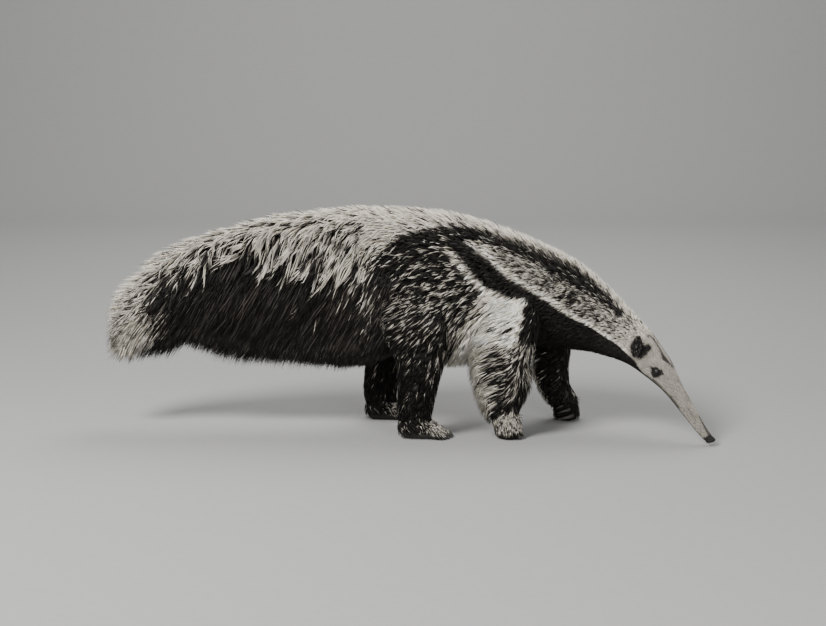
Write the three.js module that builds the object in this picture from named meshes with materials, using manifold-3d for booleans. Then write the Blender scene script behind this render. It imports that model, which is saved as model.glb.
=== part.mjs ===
// A giant anteater, life size, in mid-walk with its nose to the ground.
// +X points the way it walks, +Y to its left and +Z up. Lengths are in millimetres, angles in degrees.
import * as THREE from "three";
import { mergeVertices } from "three/addons/utils/BufferGeometryUtils.js";
import Module from "manifold-3d";

const wasm = await Module();
wasm.setup();

// Gap between the faces of two parts that touch, and how far a part is grown before it cuts another.
const GAP = 0.3;
const CLEARANCE = 0.6;

const SIDES = { left: 1, right: -1 };
const Z_AXIS = new THREE.Vector3(0, 0, 1);

// Sections of the animal from the end of the tail's hair to the nose. Each has its centre and how far its
// plane leans. Its body is how far the flesh reaches above, below and beside the centre, and its coat is
// how deep the hair is there.
const BODY = [
  { name: "end of the tail's hair", at: [-850, 0, 258], lean: -72, body: [4, 4, 4], coat: [78, 48, 26] },
  { name: "tip of the tail", at: [-835, 0, 340], lean: -50, body: [9, 10, 8], coat: [94, 128, 42] },
  { name: "last tenth", at: [-798, 0, 404], lean: -36, body: [16, 18, 13], coat: [74, 182, 50] },
  { name: "last fifth", at: [-740, 0, 466], lean: -27, body: [22, 28, 18], coat: [60, 242, 56] },
  { name: "second fifth", at: [-650, 0, 522], lean: -19, body: [26, 36, 22], coat: [44, 300, 60] },
  { name: "third fifth", at: [-540, 0, 562], lean: -12, body: [29, 42, 26], coat: [32, 328, 63] },
  { name: "fourth fifth", at: [-420, 0, 586], lean: -5, body: [34, 48, 30], coat: [36, 342, 65] },
  { name: "thick of the tail", at: [-300, 0, 595], lean: -2, body: [42, 57, 38], coat: [34, 341, 66] },
  { name: "root of the tail", at: [-205, 0, 584], lean: 0, body: [58, 76, 50], coat: [38, 314, 62] },
  { name: "rump", at: [-130, 0, 545], lean: 0, body: [100, 140, 84], coat: [38, 202, 46] },
  { name: "hips", at: [-40, 0, 484], lean: 2, body: [160, 190, 112], coat: [35, 64, 34] },
  { name: "loin", at: [70, 0, 460], lean: 6, body: [174, 205, 124], coat: [36, 40, 28] },
  { name: "ribs", at: [190, 0, 440], lean: 13, body: [166, 200, 124], coat: [32, 32, 26] },
  { name: "shoulder", at: [310, 0, 412], lean: 22, body: [152, 176, 110], coat: [27, 22, 22] },
  { name: "neck base", at: [430, -5, 377], lean: 30, body: [131, 134, 88], coat: [23, 14, 16] },
  { name: "neck", at: [548, -35, 335], lean: 35, body: [90, 101, 66], coat: [16, 11, 12] },
  { name: "nape", at: [620, -70, 298], lean: 39, body: [66, 75, 54], coat: [10, 8, 7] },
  { name: "ears", at: [674, -104, 262], lean: 44, body: [52, 57, 47], coat: [4, 4, 3] },
  { name: "eyes", at: [724, -135, 211], lean: 50, body: [40, 43, 39], coat: [1.5, 1.5, 1.5] },
  { name: "cheek", at: [757, -153, 165], lean: 54, body: [29, 28, 27], coat: [1, 1, 1] },
  { name: "muzzle", at: [797, -174, 108], lean: 55, body: [21.5, 21.5, 19.5], coat: [0.5, 0.5, 0.5] },
  { name: "lips", at: [835, -193, 52], lean: 56, body: [15.5, 15.5, 14.5], coat: [0.5, 0.5, 0.5] },
  { name: "nose", at: [862, -206, 17], lean: 58, body: [13, 12, 12], coat: [0.3, 0.3, 0.3] },
];
// Where one part gives way to the next, as the numbers of those sections.
const TAIL_ENDS = 8;
const TORSO_ENDS = 13.6;
const NECK_ENDS = 16.2;

// Sections of each leg from its root down to the wrist or ankle. The reaches are to the front, back and side.
const FORELEG = {
  right: [
    { name: "shoulder", at: [312, -76, 420], body: [74, 76, 44], coat: [12, 14, 12] },
    { name: "upper arm", at: [294, -108, 330], body: [66, 70, 44], coat: [14, 36, 14] },
    { name: "elbow", at: [274, -118, 240], body: [52, 52, 40], coat: [32, 70, 14] },
    { name: "forearm", at: [272, -118, 165], body: [42, 42, 35], coat: [46, 62, 12] },
    { name: "wrist", at: [274, -116, 98], body: [33, 34, 31], coat: [10, 42, 8] },
    { name: "hand", at: [280, -115, 60], body: [31, 32, 31], coat: [6, 14, 5] },
  ],
  left: [
    { name: "shoulder", at: [330, 76, 420], body: [74, 76, 44], coat: [12, 14, 12] },
    { name: "upper arm", at: [398, 104, 325], body: [60, 64, 44], coat: [14, 26, 14] },
    { name: "elbow", at: [436, 112, 240], body: [42, 46, 40], coat: [12, 34, 13] },
    { name: "forearm", at: [434, 112, 165], body: [36, 38, 34], coat: [14, 32, 11] },
    { name: "wrist", at: [448, 110, 98], body: [33, 33, 31], coat: [9, 22, 7] },
    { name: "hand", at: [472, 109, 60], body: [34, 33, 31], coat: [5, 8, 5] },
  ],
};
const HINDLEG = {
  right: [
    { name: "hip", at: [-20, -76, 440], body: [100, 92, 48], coat: [14, 16, 14] },
    { name: "thigh", at: [8, -108, 340], body: [92, 86, 48], coat: [16, 20, 18] },
    { name: "knee", at: [28, -118, 245], body: [58, 64, 44], coat: [13, 22, 16] },
    { name: "shank", at: [18, -117, 160], body: [44, 46, 38], coat: [13, 20, 13] },
    { name: "ankle", at: [8, -115, 98], body: [40, 42, 35], coat: [14, 18, 11] },
    { name: "heel", at: [6, -114, 64], body: [40, 40, 34], coat: [10, 10, 8] },
  ],
  left: [
    { name: "hip", at: [-20, 76, 440], body: [100, 92, 48], coat: [14, 16, 14] },
    { name: "thigh", at: [-40, 108, 340], body: [90, 78, 48], coat: [16, 20, 18] },
    { name: "knee", at: [-66, 116, 245], body: [64, 58, 44], coat: [14, 20, 16] },
    { name: "shank", at: [-92, 116, 160], body: [45, 42, 38], coat: [12, 18, 13] },
    { name: "ankle", at: [-100, 115, 98], body: [40, 40, 35], coat: [13, 16, 11] },
    { name: "heel", at: [-98, 114, 64], body: [40, 40, 34], coat: [9, 10, 8] },
  ],
};

// The eye, its lids and their opening, as radii forward, upward and outward, at a section of the body.
const EYE = { section: 18, from_top: 84, radius: 8.5, sunk: 5 };
const LID = { sunk: 2, radii: [16, 12, 6.5], opening: [9.5, 6, 12] };
// The ear, with radii across, up and through, set up from the head and swept back.
const EAR = {
  section: 16.95,
  from_top: 80,
  swept_back: 0.75,
  raised: 6,
  stands_out: 4,
  wall: 4,
  shell: [17, 29, 8.5],
  hollow: [13, 24, 8.5],
};
const NOSE = { pad_back: -1, pad: [9, 11.6, 12], nostril_at: [5, 6, 3.5], nostril: [5, 2, 3] };
const MOUTH = { length: 36, width: 40, gap: 1.4, back: -6, low: -5.5 };

// The forefoot bears on its outer side with the claws curled inward. Palm sections give how far forward and
// how high each is, and its reaches to the front, back and side. Claws and knuckles go forward, outward, up.
const HAND = {
  palm: [
    [0, 61, 31, 32, 31],
    [3, 38, 35, 35, 35],
    [4, 18, 35, 35, 36],
    [4, -4, 28, 28, 29],
  ],
  knuckle: [15, 12.5, 17],
  knuckles: [
    [22, -18, 26],
    [26, 2, 22],
    [19, 22, 20],
  ],
  claws: [
    { digit: 1, radius: 4, places: [[-6, -28, 50], [-14, -38, 49], [-24, -41, 46], [-33, -40, 42]] },
    { digit: 2, radius: 6.5, places: [[16, -24, 40], [6, -41, 38], [-12, -47, 34], [-31, -43, 27]] },
    { digit: 3, radius: 8.5, places: [[24, -16, 20], [17, -39, 18], [-6, -49, 14], [-37, -44, 8]] },
    { digit: 4, radius: 4.5, places: [[27, 8, 16], [38, 12, 14], [45, 18, 10], [47, 27, 5]] },
  ],
};
// The hind foot is set flat. Its sections go from the heel to the toes, and its claws from each toe forward.
const FOOT = {
  sections: [
    [-45, 33, 9, 13, 14],
    [-36, 35, 27, 31, 28],
    [-18, 36, 35, 39, 33],
    [14, 37, 36, 43, 37],
    [44, 27, 25, 33, 38],
    [68, 18, 18, 24, 38],
    [80, 14, 12, 18, 34],
  ],
  toe: [18, 7.6, 11.5],
  toe_high: 11,
  toes: [-30, -15, 0, 15, 30],
  toe_reach: [66, 77, 81, 77, 66],
  claw: [[6, 12], [18, 13], [27, 10], [35, 3.5]],
  claw_radius: 5,
};

// The coat. Its core stands this share of the way up, and locks rooted in the core reach out to the tips.
const CORE = 0.45;
const CORE_STARTS = 0.6;
// A lock is this broad and this thick, as shares of its greatest, at each share of its length.
const LOCK_RINGS = [
  [0, 0.75, 0.6],
  [0.38, 1, 1],
  [0.78, 0.72, 0.75],
];
// A lock rises fast at its root and slowly at its tip.
const LOCK_RISE = 0.7;
// Rows of locks along the body, on both sides. Each gives the sections it runs between, how many locks it has
// on a side, the angle down from the crest, how many sections and degrees a lock travels, the heights in the
// coat of its root and tip, and its breadth and thickness.
const BODY_ROWS = [
  { from: 1.4, to: 15.4, count: 16, angle: 15, travel: -1.25, turn: 14, heights: [0.2, 1], size: [64, 10] },
  { from: 1.2, to: 14.9, count: 15, angle: 46, travel: -1.15, turn: 24, heights: [0.2, 1], size: [74, 11] },
  { from: 9.2, to: 13.4, count: 5, angle: 78, travel: -1.2, turn: 26, heights: [0.2, 1], size: [86, 12] },
  { from: 9.7, to: 12.9, count: 4, angle: 108, travel: -1, turn: 26, heights: [0.2, 1], size: [84, 12] },
  { from: 9.7, to: 12.3, count: 3, angle: 138, travel: -0.8, turn: 24, heights: [0.2, 1.1], size: [76, 11] },
  { from: 1.9, to: 8.6, count: 7, angle: 80, travel: -0.8, turn: 34, heights: [0.2, 1], size: [76, 11] },
  { from: 1.9, to: 8.6, count: 8, angle: 108, travel: -0.5, turn: 34, heights: [0.25, 0.9], size: [78, 12] },
  { from: 1.4, to: 9, count: 10, angle: 131, travel: -0.35, turn: 35, heights: [0.25, 1.03], size: [78, 12] },
];
const TAIL_END_ROW = {
  section: 1.2,
  travel: -1.18,
  angles: [-160, -115, -55, -10, 40, 90, 140],
  heights: [0.2, 1],
  size: [44, 8],
};
// Rows down each leg, with the angle turned back from the leg's outer side. The back of the leg is at 90.
const LEG_ROWS = {
  foreleg: [
    { from: 1.5, to: 3.9, count: 4, angle: 84, travel: 1.05, turn: 4, heights: [0.2, 1.05], size: [56, 9] },
    { from: 1.2, to: 3.3, count: 3, angle: 28, travel: 1.1, turn: 22, heights: [0.2, 1], size: [54, 8] },
    { from: 1.8, to: 3.2, count: 2, angle: -42, travel: 1, turn: -16, heights: [0.2, 1], size: [50, 8] },
  ],
  hindleg: [
    { from: 1.3, to: 3.9, count: 4, angle: 84, travel: 1.05, turn: 4, heights: [0.2, 1.1], size: [58, 9] },
    { from: 1, to: 3.4, count: 3, angle: 34, travel: 1.1, turn: 26, heights: [0.2, 1], size: [64, 9] },
    { from: 1.4, to: 3.4, count: 2, angle: -30, travel: 1, turn: -14, heights: [0.2, 1], size: [56, 8] },
  ],
};
const LEGS = { foreleg: FORELEG, hindleg: HINDLEG };
// Seeds of the chance in the locks.
const LEG_SEEDS = { foreleg: 311, hindleg: 523 };
const TRUNK_SEED = 4026;

// A closed geometry over rings of points, each counterclockwise seen from ahead. It ends flat or at a tip.
function skinOver(rings, tip) {
  const count = rings[0].length;
  const points = rings.flat();
  const faces = [];
  for (let i = 0; i + 1 < rings.length; i += 1) {
    for (let k = 0; k < count; k += 1) {
      const a = i * count + k;
      const b = i * count + ((k + 1) % count);
      faces.push(a, b, b + count, a, b + count, a + count);
    }
  }
  for (let k = 1; k + 1 < count; k += 1) {
    faces.push(0, k + 1, k);
  }
  const last = (rings.length - 1) * count;
  if (tip) {
    for (let k = 0; k < count; k += 1) {
      faces.push(last + k, last + ((k + 1) % count), points.length);
    }
    points.push(tip);
  } else {
    for (let k = 1; k + 1 < count; k += 1) {
      faces.push(last, last + k, last + k + 1);
    }
  }
  return new THREE.BufferGeometry().setFromPoints(points).setIndex(faces);
}

function solidOf(geometry) {
  const bare = geometry.clone();
  bare.deleteAttribute("normal");
  bare.deleteAttribute("uv");
  const merged = mergeVertices(bare, 1e-3);
  const mesh = new wasm.Mesh({
    numProp: 3,
    vertProperties: new Float32Array(merged.attributes.position.array),
    triVerts: new Uint32Array(merged.index.array),
  });
  return new wasm.Manifold(mesh);
}

function geometryOf(solid) {
  const mesh = solid.getMesh();
  const geometry = new THREE.BufferGeometry();
  geometry.setAttribute("position", new THREE.BufferAttribute(mesh.vertProperties, 3));
  return geometry.setIndex(new THREE.BufferAttribute(mesh.triVerts, 1));
}

// The largest closed surface of a solid, without loose scraps or sealed pockets. Merging its corners can part
// it again, so it is taken until it stays whole.
function largestSurface(solid) {
  let surface = geometryOf(solid);
  let pieces = solidOf(surface).decompose();
  while (pieces.length > 1) {
    surface = geometryOf(pieces.sort((one, other) => other.volume() - one.volume())[0]);
    pieces = solidOf(surface).decompose();
  }
  return surface;
}

// The solid with each vertex moved out until all the faces at it stand clear, to cut a neighbour by.
function grown(solid) {
  const geometry = geometryOf(solid);
  const { position } = geometry.attributes;
  const corners = geometry.index.array;
  const facing = Array.from({ length: position.count }, () => []);
  const triangle = new THREE.Triangle();
  for (let i = 0; i < corners.length; i += 3) {
    triangle.setFromAttributeAndIndices(position, corners[i], corners[i + 1], corners[i + 2]);
    const normal = triangle.getNormal(new THREE.Vector3());
    for (const corner of corners.slice(i, i + 3)) {
      if (facing[corner].every((other) => other.dot(normal) < 0.995)) facing[corner].push(normal);
    }
  }
  const point = new THREE.Vector3();
  facing.forEach((normals, i) => {
    const outward = normals.reduce((sum, normal) => sum.add(normal), new THREE.Vector3()).normalize();
    const least = Math.min(...normals.map((normal) => normal.dot(outward)));
    point.fromBufferAttribute(position, i).addScaledVector(outward, CLEARANCE / Math.max(least, 0.35));
    position.setXYZ(i, point.x, point.y, point.z);
  });
  return solidOf(geometry);
}

function smoothCurve(places) {
  const points = places.map((p) => new THREE.Vector3(...p));
  return new THREE.CatmullRomCurve3(points, false, "catmullrom", 0.5);
}

const radians = THREE.MathUtils.degToRad;

// A form swept through its sections. A point of it is found by the share of the way along, the angle round
// from the left side over the top, and the height in the coat, from 0 at the skin to 1 at the hair's tips.
class Sweep {
  constructor(sections) {
    this.centres = smoothCurve(sections.map((s) => s.at));
    this.flesh = smoothCurve(sections.map((s) => s.body));
    this.coat = smoothCurve(sections.map((s) => s.coat));
    this.leans = sections[0].lean === undefined ? null : smoothCurve(sections.map((s) => [s.lean, 0, 0]));
    this.last = sections.length - 1;
  }

  // A body section faces along the way ahead, leaning as its table says. A leg's faces down the leg.
  frame(t) {
    const centre = this.centres.getPoint(t);
    const ahead = this.centres.getTangent(t);
    let side = new THREE.Vector3(0, 1, 0).addScaledVector(ahead, -ahead.y).normalize();
    if (this.leans) {
      side = new THREE.Vector3().crossVectors(Z_AXIS, ahead).normalize();
      const lean = radians(this.leans.getPoint(t).x);
      ahead.crossVectors(side, Z_AXIS).multiplyScalar(Math.cos(lean));
      ahead.addScaledVector(Z_AXIS, -Math.sin(lean));
    }
    return { centre, ahead, side, up: new THREE.Vector3().crossVectors(ahead, side) };
  }

  point(t, angle, height) {
    const { centre, side, up } = this.frame(t);
    const reach = this.flesh.getPoint(t).addScaledVector(this.coat.getPoint(t), height);
    const [c, s] = [Math.cos(angle), Math.sin(angle)];
    return centre.addScaledVector(side, c * reach.z).addScaledVector(up, s * (s > 0 ? reach.x : reach.y));
  }

  solid(from, to, { height, steps, count }) {
    const rings = Array.from({ length: steps + 1 }, (_, i) => {
      const t = from + ((to - from) * i) / steps;
      return Array.from({ length: count }, (__, k) => this.point(t, (2 * Math.PI * k) / count, height));
    });
    return solidOf(skinOver(rings));
  }

  // The share of the way along at a section's number, moved on by a small length.
  share(section, shift = 0) {
    const t = section / this.last;
    const step = 1e-3;
    const near = Math.min(t, 1 - step);
    const speed = this.centres.getPoint(near).distanceTo(this.centres.getPoint(near + step)) / step;
    return t + shift / speed;
  }
}

// An ellipsoid with its three radii along three directions.
function ellipsoid(centre, [first, second], radii, [around, down]) {
  const third = new THREE.Vector3().crossVectors(first, second);
  const geometry = new THREE.SphereGeometry(1, around, down);
  const basis = new THREE.Matrix4().makeBasis(
    first.clone().multiplyScalar(radii[0]),
    second.clone().multiplyScalar(radii[1]),
    third.multiplyScalar(radii[2]),
  );
  return solidOf(geometry.applyMatrix4(basis.setPosition(centre)));
}

// A tapering form of few sides along a curve, such as a claw.
function taper(places, radius, count, steps) {
  const curve = smoothCurve(places);
  const rings = Array.from({ length: steps }, (_, i) => {
    const t = i / steps;
    const ahead = curve.getTangent(t);
    const side = new THREE.Vector3().crossVectors(Z_AXIS, ahead).normalize();
    const up = new THREE.Vector3().crossVectors(ahead, side);
    const reach = radius * Math.sqrt(1 - t);
    return Array.from({ length: count }, (__, k) => {
      const angle = (2 * Math.PI * k) / count;
      return curve
        .getPoint(t)
        .addScaledVector(side, 0.8 * reach * Math.cos(angle))
        .addScaledVector(up, reach * Math.sin(angle));
    });
  });
  return solidOf(skinOver(rings, curve.getPoint(1)));
}

const body = new Sweep(BODY);

// The place on the body's side at an angle from the top, with the ways outward, forward and upward there.
function placeOnBody(section, side, fromTop, height = 1) {
  const t = section / body.last;
  const angleAt = (degrees) => Math.PI / 2 - side * radians(degrees);
  const at = body.point(t, angleAt(fromTop), height);
  const rise = body.point(t, angleAt(fromTop - 2), height).sub(at).normalize();
  const ahead = body.point(t + 1e-3, angleAt(fromTop), height).sub(at).normalize();
  const out = new THREE.Vector3().crossVectors(rise, ahead).multiplyScalar(side).normalize();
  return { at, out, ahead, rise };
}

// A repeatable run of numbers from 0 to 1.
function seeded(seed) {
  let state = seed;
  return () => {
    state = (state * 16807) % 2147483647;
    return state / 2147483647;
  };
}

// One lock, flat beneath and ridged above, that bends with the form it lies on and narrows to its tip.
function lockOn(sweep, { section, angle, travel, turn, heights, size }) {
  const at = (share, dt = 0, da = 0) =>
    sweep.point(
      THREE.MathUtils.clamp((section + travel * share) / sweep.last, 2e-3, 1 - 2e-3) + dt,
      angle + turn * share + da,
      heights[0] + (heights[1] - heights[0]) * Math.max(share, 0) ** LOCK_RISE,
    );
  const slope = (low, high) => high.sub(low).normalize();
  const rings = LOCK_RINGS.map(([share, broad, thick]) => {
    const middle = at(share);
    const along = slope(at(share - 0.03), at(share + 0.03));
    const lengthwise = slope(at(share, -1e-3), at(share, 1e-3));
    const around = slope(at(share, 0, -0.02), at(share, 0, 0.02));
    const outward = new THREE.Vector3().crossVectors(lengthwise, around).multiplyScalar(-1);
    const across = new THREE.Vector3().crossVectors(along, outward).normalize();
    const rise = new THREE.Vector3().crossVectors(across, along).multiplyScalar(size[1] * thick);
    across.multiplyScalar((size[0] * broad) / 2);
    return [middle.clone().add(across), middle.clone().sub(across), middle.add(rise)];
  });
  return solidOf(skinOver(rings, at(1)));
}

// The locks of a row on one side of a form. Each is moved a little and made longer or shorter by chance.
function locksOf(sweep, row, { from, side, chance, ends = [] }) {
  const vary = (amount) => amount * (2 * chance() - 1);
  return Array.from({ length: row.count }, (_, i) => {
    const spacing = (row.to - row.from) / Math.max(row.count - 1, 1);
    const section = row.from + spacing * (i + vary(0.2) + (side > 0 ? 0.25 : -0.25));
    let travel = row.travel * (1 + vary(0.15));
    // A lock that would pass a joint of two forms by its tip stops short of it.
    for (const end of ends) {
      if (section > end && section + travel < end && section + travel * 0.45 > end) {
        travel = end - section;
      }
    }
    return lockOn(sweep, {
      section,
      travel,
      angle: from - side * radians(row.angle + vary(3)),
      turn: -side * radians(row.turn * (1 + vary(0.15))),
      heights: [row.heights[0], row.heights[1] - 0.1 * chance()],
      size: row.size.map((value) => value * (1 + vary(0.12))),
    });
  });
}

// Materials
const material = (color, roughness) => new THREE.MeshStandardMaterial({ color, roughness, metalness: 0 });
const GREY_COAT = material(0x5b554d, 0.9);
const DARK_COAT = material(0x1d1a17, 0.9);
const SHORT_COAT = material(0x958d81, 0.85);
const EAR_SKIN = material(0x1f1b18, 0.8);
const EYE_GLOSS = material(0x0b0908, 0.15);
const CLAW_HORN = material(0x6d6353, 0.45);

const parts = [];
const addPart = (name, solid, look) => parts.push({ name, solid, look });

// Head
function eyeParts(side) {
  const { at, out, ahead, rise } = placeOnBody(EYE.section, side, EYE.from_top);
  const centre = at.clone().addScaledVector(out, -EYE.sunk);
  const directions = [ahead, rise, out];
  const lids = ellipsoid(at.clone().addScaledVector(out, -LID.sunk), directions, LID.radii, [9, 7]);
  const opening = ellipsoid(at.clone().addScaledVector(out, LID.sunk), directions, LID.opening, [10, 6]);
  const ball = ellipsoid(centre, directions, [EYE.radius, EYE.radius, EYE.radius], [10, 8]);
  const wide = EYE.radius + GAP;
  return { lids, opening, ball, socket: ellipsoid(centre, directions, [wide, wide, wide], [10, 8]) };
}

function noseAndMouth() {
  const { centre, ahead, side, up } = body.frame(1);
  const at = (forward, sideways, upward) => {
    const place = centre.clone().addScaledVector(ahead, forward);
    return place.addScaledVector(side, sideways).addScaledVector(up, upward);
  };
  const directions = [ahead, side, up];
  const pad = ellipsoid(at(NOSE.pad_back, 0, 0), directions, NOSE.pad, [12, 8]);
  const nostrils = Object.values(SIDES).map((s) => {
    const [forward, sideways, upward] = NOSE.nostril_at;
    return ellipsoid(at(forward, s * sideways, upward), directions, NOSE.nostril, [7, 5]);
  });
  const slit = new THREE.BoxGeometry(MOUTH.length, MOUTH.width, MOUTH.gap);
  slit.applyMatrix4(new THREE.Matrix4().makeBasis(ahead, side, up).setPosition(at(MOUTH.back, 0, MOUTH.low)));
  return { pad, cuts: [...nostrils, solidOf(slit)] };
}

function earOf(side) {
  const { at, out, ahead, rise } = placeOnBody(EAR.section, side, EAR.from_top);
  const tall = rise.clone().addScaledVector(ahead, -EAR.swept_back).normalize();
  const thin = out.clone().addScaledVector(tall, -out.dot(tall)).normalize();
  const wide = new THREE.Vector3().crossVectors(tall, thin);
  const centre = at.clone().addScaledVector(tall, EAR.raised).addScaledVector(thin, EAR.stands_out);
  const directions = [wide, tall, thin];
  const shell = ellipsoid(centre, directions, EAR.shell, [10, 7]);
  const hollow = ellipsoid(centre.clone().addScaledVector(thin, EAR.wall), directions, EAR.hollow, [10, 7]);
  return shell.subtract(hollow);
}

const nose = noseAndMouth();
const eyes = Object.fromEntries(Object.entries(SIDES).map(([name, side]) => [name, eyeParts(side)]));
const shell = body.solid(body.share(NECK_ENDS, GAP / 2), 1, { height: 1, steps: 15, count: 14 });
const head = wasm.Manifold.union([shell, nose.pad, eyes.left.lids, eyes.right.lids]).subtract(
  wasm.Manifold.union([
    ...nose.cuts,
    ...Object.values(eyes).flatMap(({ opening, socket }) => [opening, socket]),
  ]),
);
addPart("head", head, SHORT_COAT);
for (const [name, side] of Object.entries(SIDES)) {
  addPart("eye_" + name, eyes[name].ball, EYE_GLOSS);
  addPart("ear_" + name, earOf(side).subtract(grown(head)), EAR_SKIN);
}

// Trunk and legs. The legs are cut clear of the trunk's core, and the trunk's locks clear of the legs.
const unionOfGrown = (solids) => wasm.Manifold.union([...solids, ...solids.map(grown)]);
const coreOfTrunk = body.solid(body.share(CORE_STARTS), body.share(NECK_ENDS, -GAP / 2), {
  height: CORE,
  steps: 18,
  count: 18,
});

function legOf(kind, name) {
  const side = SIDES[name];
  const sweep = new Sweep(LEGS[kind][name]);
  const chance = seeded(LEG_SEEDS[kind] + side);
  const outer = side > 0 ? 0 : Math.PI;
  const locks = LEG_ROWS[kind].flatMap((row) => locksOf(sweep, row, { from: outer, side, chance }));
  const pieces = [sweep.solid(0, 1, { height: CORE, steps: 8, count: 12 }), ...locks];
  return { solid: wasm.Manifold.union(pieces).subtract(grown(coreOfTrunk)), grown: unionOfGrown(pieces) };
}

const legs = {};
for (const kind of Object.keys(LEGS)) {
  for (const name of Object.keys(SIDES)) {
    legs[kind + "_" + name] = legOf(kind, name);
  }
}

const trunkChance = seeded(TRUNK_SEED);
const ends = [TAIL_ENDS, TORSO_ENDS, NECK_ENDS];
const trunkLocks = BODY_ROWS.flatMap((row) =>
  Object.values(SIDES).flatMap((side) =>
    locksOf(body, row, { from: Math.PI / 2, side, chance: trunkChance, ends }),
  ),
);
const tailEndLocks = TAIL_END_ROW.angles.map((angle) =>
  lockOn(body, { ...TAIL_END_ROW, angle: radians(angle), turn: 0 }),
);
const trunk = coreOfTrunk.add(
  wasm.Manifold.union([...trunkLocks, ...tailEndLocks]).subtract(
    wasm.Manifold.union(Object.values(legs).map((leg) => leg.grown)),
  ),
);

// The trunk ahead of one section of the body and behind another, half a gap clear of both.
function between(behind, ahead) {
  const plane = (section) => {
    const { centre, ahead: normal } = body.frame(section / body.last);
    return { normal, offset: normal.dot(centre) };
  };
  let piece = trunk;
  if (behind !== null) {
    const { normal, offset } = plane(behind);
    piece = piece.trimByPlane(normal.toArray(), offset + GAP / 2);
  }
  if (ahead !== null) {
    const { normal, offset } = plane(ahead);
    piece = piece.trimByPlane(normal.negate().toArray(), GAP / 2 - offset);
  }
  return piece;
}

addPart("neck", between(TORSO_ENDS, NECK_ENDS), SHORT_COAT);
addPart("torso", between(TAIL_ENDS, TORSO_ENDS), GREY_COAT);
addPart("tail", between(null, TAIL_ENDS), DARK_COAT);

// Feet and claws
function footOf(sections, { steps, count }) {
  return new Sweep(sections).solid(0, 1, { height: 1, steps, count });
}

function handOf([x, y]) {
  const bare = [0, 0, 0];
  const sections = HAND.palm.map(([forward, high, ...reaches]) => ({
    at: [x + forward, y, high],
    body: reaches,
    coat: bare,
  }));
  const palm = footOf(sections, { steps: 5, count: 12 });
  const outward = Math.sign(y);
  const axes = [new THREE.Vector3(1, 0, 0), new THREE.Vector3(0, 1, 0), Z_AXIS];
  const knuckles = HAND.knuckles.map(([forward, beside, high]) =>
    ellipsoid(new THREE.Vector3(x + forward, y + outward * beside, high), axes, HAND.knuckle, [8, 6]),
  );
  return wasm.Manifold.union([palm, ...knuckles]).trimByPlane([0, 0, 1], 0);
}

function soleOf([x, y]) {
  const sections = FOOT.sections.map(([forward, high, above, below, beside]) => ({
    at: [x + forward, y, high],
    lean: 0,
    body: [above, below, beside],
    coat: [0, 0, 0],
  }));
  const axes = [new THREE.Vector3(1, 0, 0), new THREE.Vector3(0, 1, 0), Z_AXIS];
  const toes = FOOT.toes.map((beside, i) =>
    ellipsoid(new THREE.Vector3(x + FOOT.toe_reach[i], y + beside, FOOT.toe_high), axes, FOOT.toe, [7, 5]),
  );
  return wasm.Manifold.union([footOf(sections, { steps: 7, count: 12 }), ...toes]).trimByPlane([0, 0, 1], 0);
}

function addLeg(name, footSolid, footName) {
  const leg = legs[name];
  addPart(name, leg.solid, GREY_COAT);
  const foot = footSolid.subtract(leg.grown);
  addPart(footName, foot, DARK_COAT);
  return foot;
}

for (const [name, side] of Object.entries(SIDES)) {
  const wrist = FORELEG[name].at(-1).at;
  const hand = addLeg("foreleg_" + name, handOf(wrist), "forefoot_" + name);
  HAND.claws.forEach(({ digit, radius, places }) => {
    const placeOf = ([forward, beside, high]) => [wrist[0] + forward, wrist[1] + side * beside, high];
    const claw = taper(places.map(placeOf), radius, 6, 5).subtract(grown(hand));
    addPart("foreclaw_" + digit + "_" + name, claw, CLAW_HORN);
  });
  const heel = HINDLEG[name].at(-1).at;
  const foot = addLeg("hindleg_" + name, soleOf(heel), "hindfoot_" + name);
  FOOT.toes.forEach((beside, i) => {
    const placeOf = ([forward, high]) => [heel[0] + FOOT.toe_reach[i] + forward, heel[1] + beside, high];
    const claw = taper(FOOT.claw.map(placeOf), FOOT.claw_radius, 5, 3).subtract(grown(foot));
    addPart("hindclaw_" + (i + 1) + "_" + name, claw, CLAW_HORN);
  });
}

// The origin is on the floor, under the middle of the animal.
const model = new THREE.Group();
const { min, max } = wasm.Manifold.union(parts.map((part) => part.solid)).boundingBox();
for (const { name, solid, look } of parts) {
  const placed = solid.translate(-(min[0] + max[0]) / 2, -(min[1] + max[1]) / 2, -min[2]);
  const mesh = new THREE.Mesh(largestSurface(placed), look);
  mesh.name = name;
  model.add(mesh);
}

export default model;
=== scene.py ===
"""Looks of the giant anteater: one skin under a coat of tufts, with eyes, ears and claws of their own."""

import math
from typing import NamedTuple

import bpy
import numpy as np
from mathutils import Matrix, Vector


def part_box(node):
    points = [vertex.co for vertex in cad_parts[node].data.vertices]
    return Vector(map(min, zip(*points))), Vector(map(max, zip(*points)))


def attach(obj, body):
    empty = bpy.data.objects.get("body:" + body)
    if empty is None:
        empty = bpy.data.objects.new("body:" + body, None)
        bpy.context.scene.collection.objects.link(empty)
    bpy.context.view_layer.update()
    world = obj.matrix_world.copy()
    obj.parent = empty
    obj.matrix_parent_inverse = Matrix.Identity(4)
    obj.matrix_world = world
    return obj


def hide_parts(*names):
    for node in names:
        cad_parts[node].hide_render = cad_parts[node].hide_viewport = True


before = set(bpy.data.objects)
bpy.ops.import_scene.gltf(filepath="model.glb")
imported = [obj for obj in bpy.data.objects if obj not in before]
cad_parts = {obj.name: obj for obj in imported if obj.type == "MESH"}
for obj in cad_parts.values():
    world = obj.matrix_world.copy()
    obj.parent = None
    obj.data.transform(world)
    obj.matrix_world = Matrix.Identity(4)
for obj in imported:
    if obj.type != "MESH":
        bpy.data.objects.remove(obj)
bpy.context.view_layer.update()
MM = 0.001
SIDES = {"left": 1, "right": -1}

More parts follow.
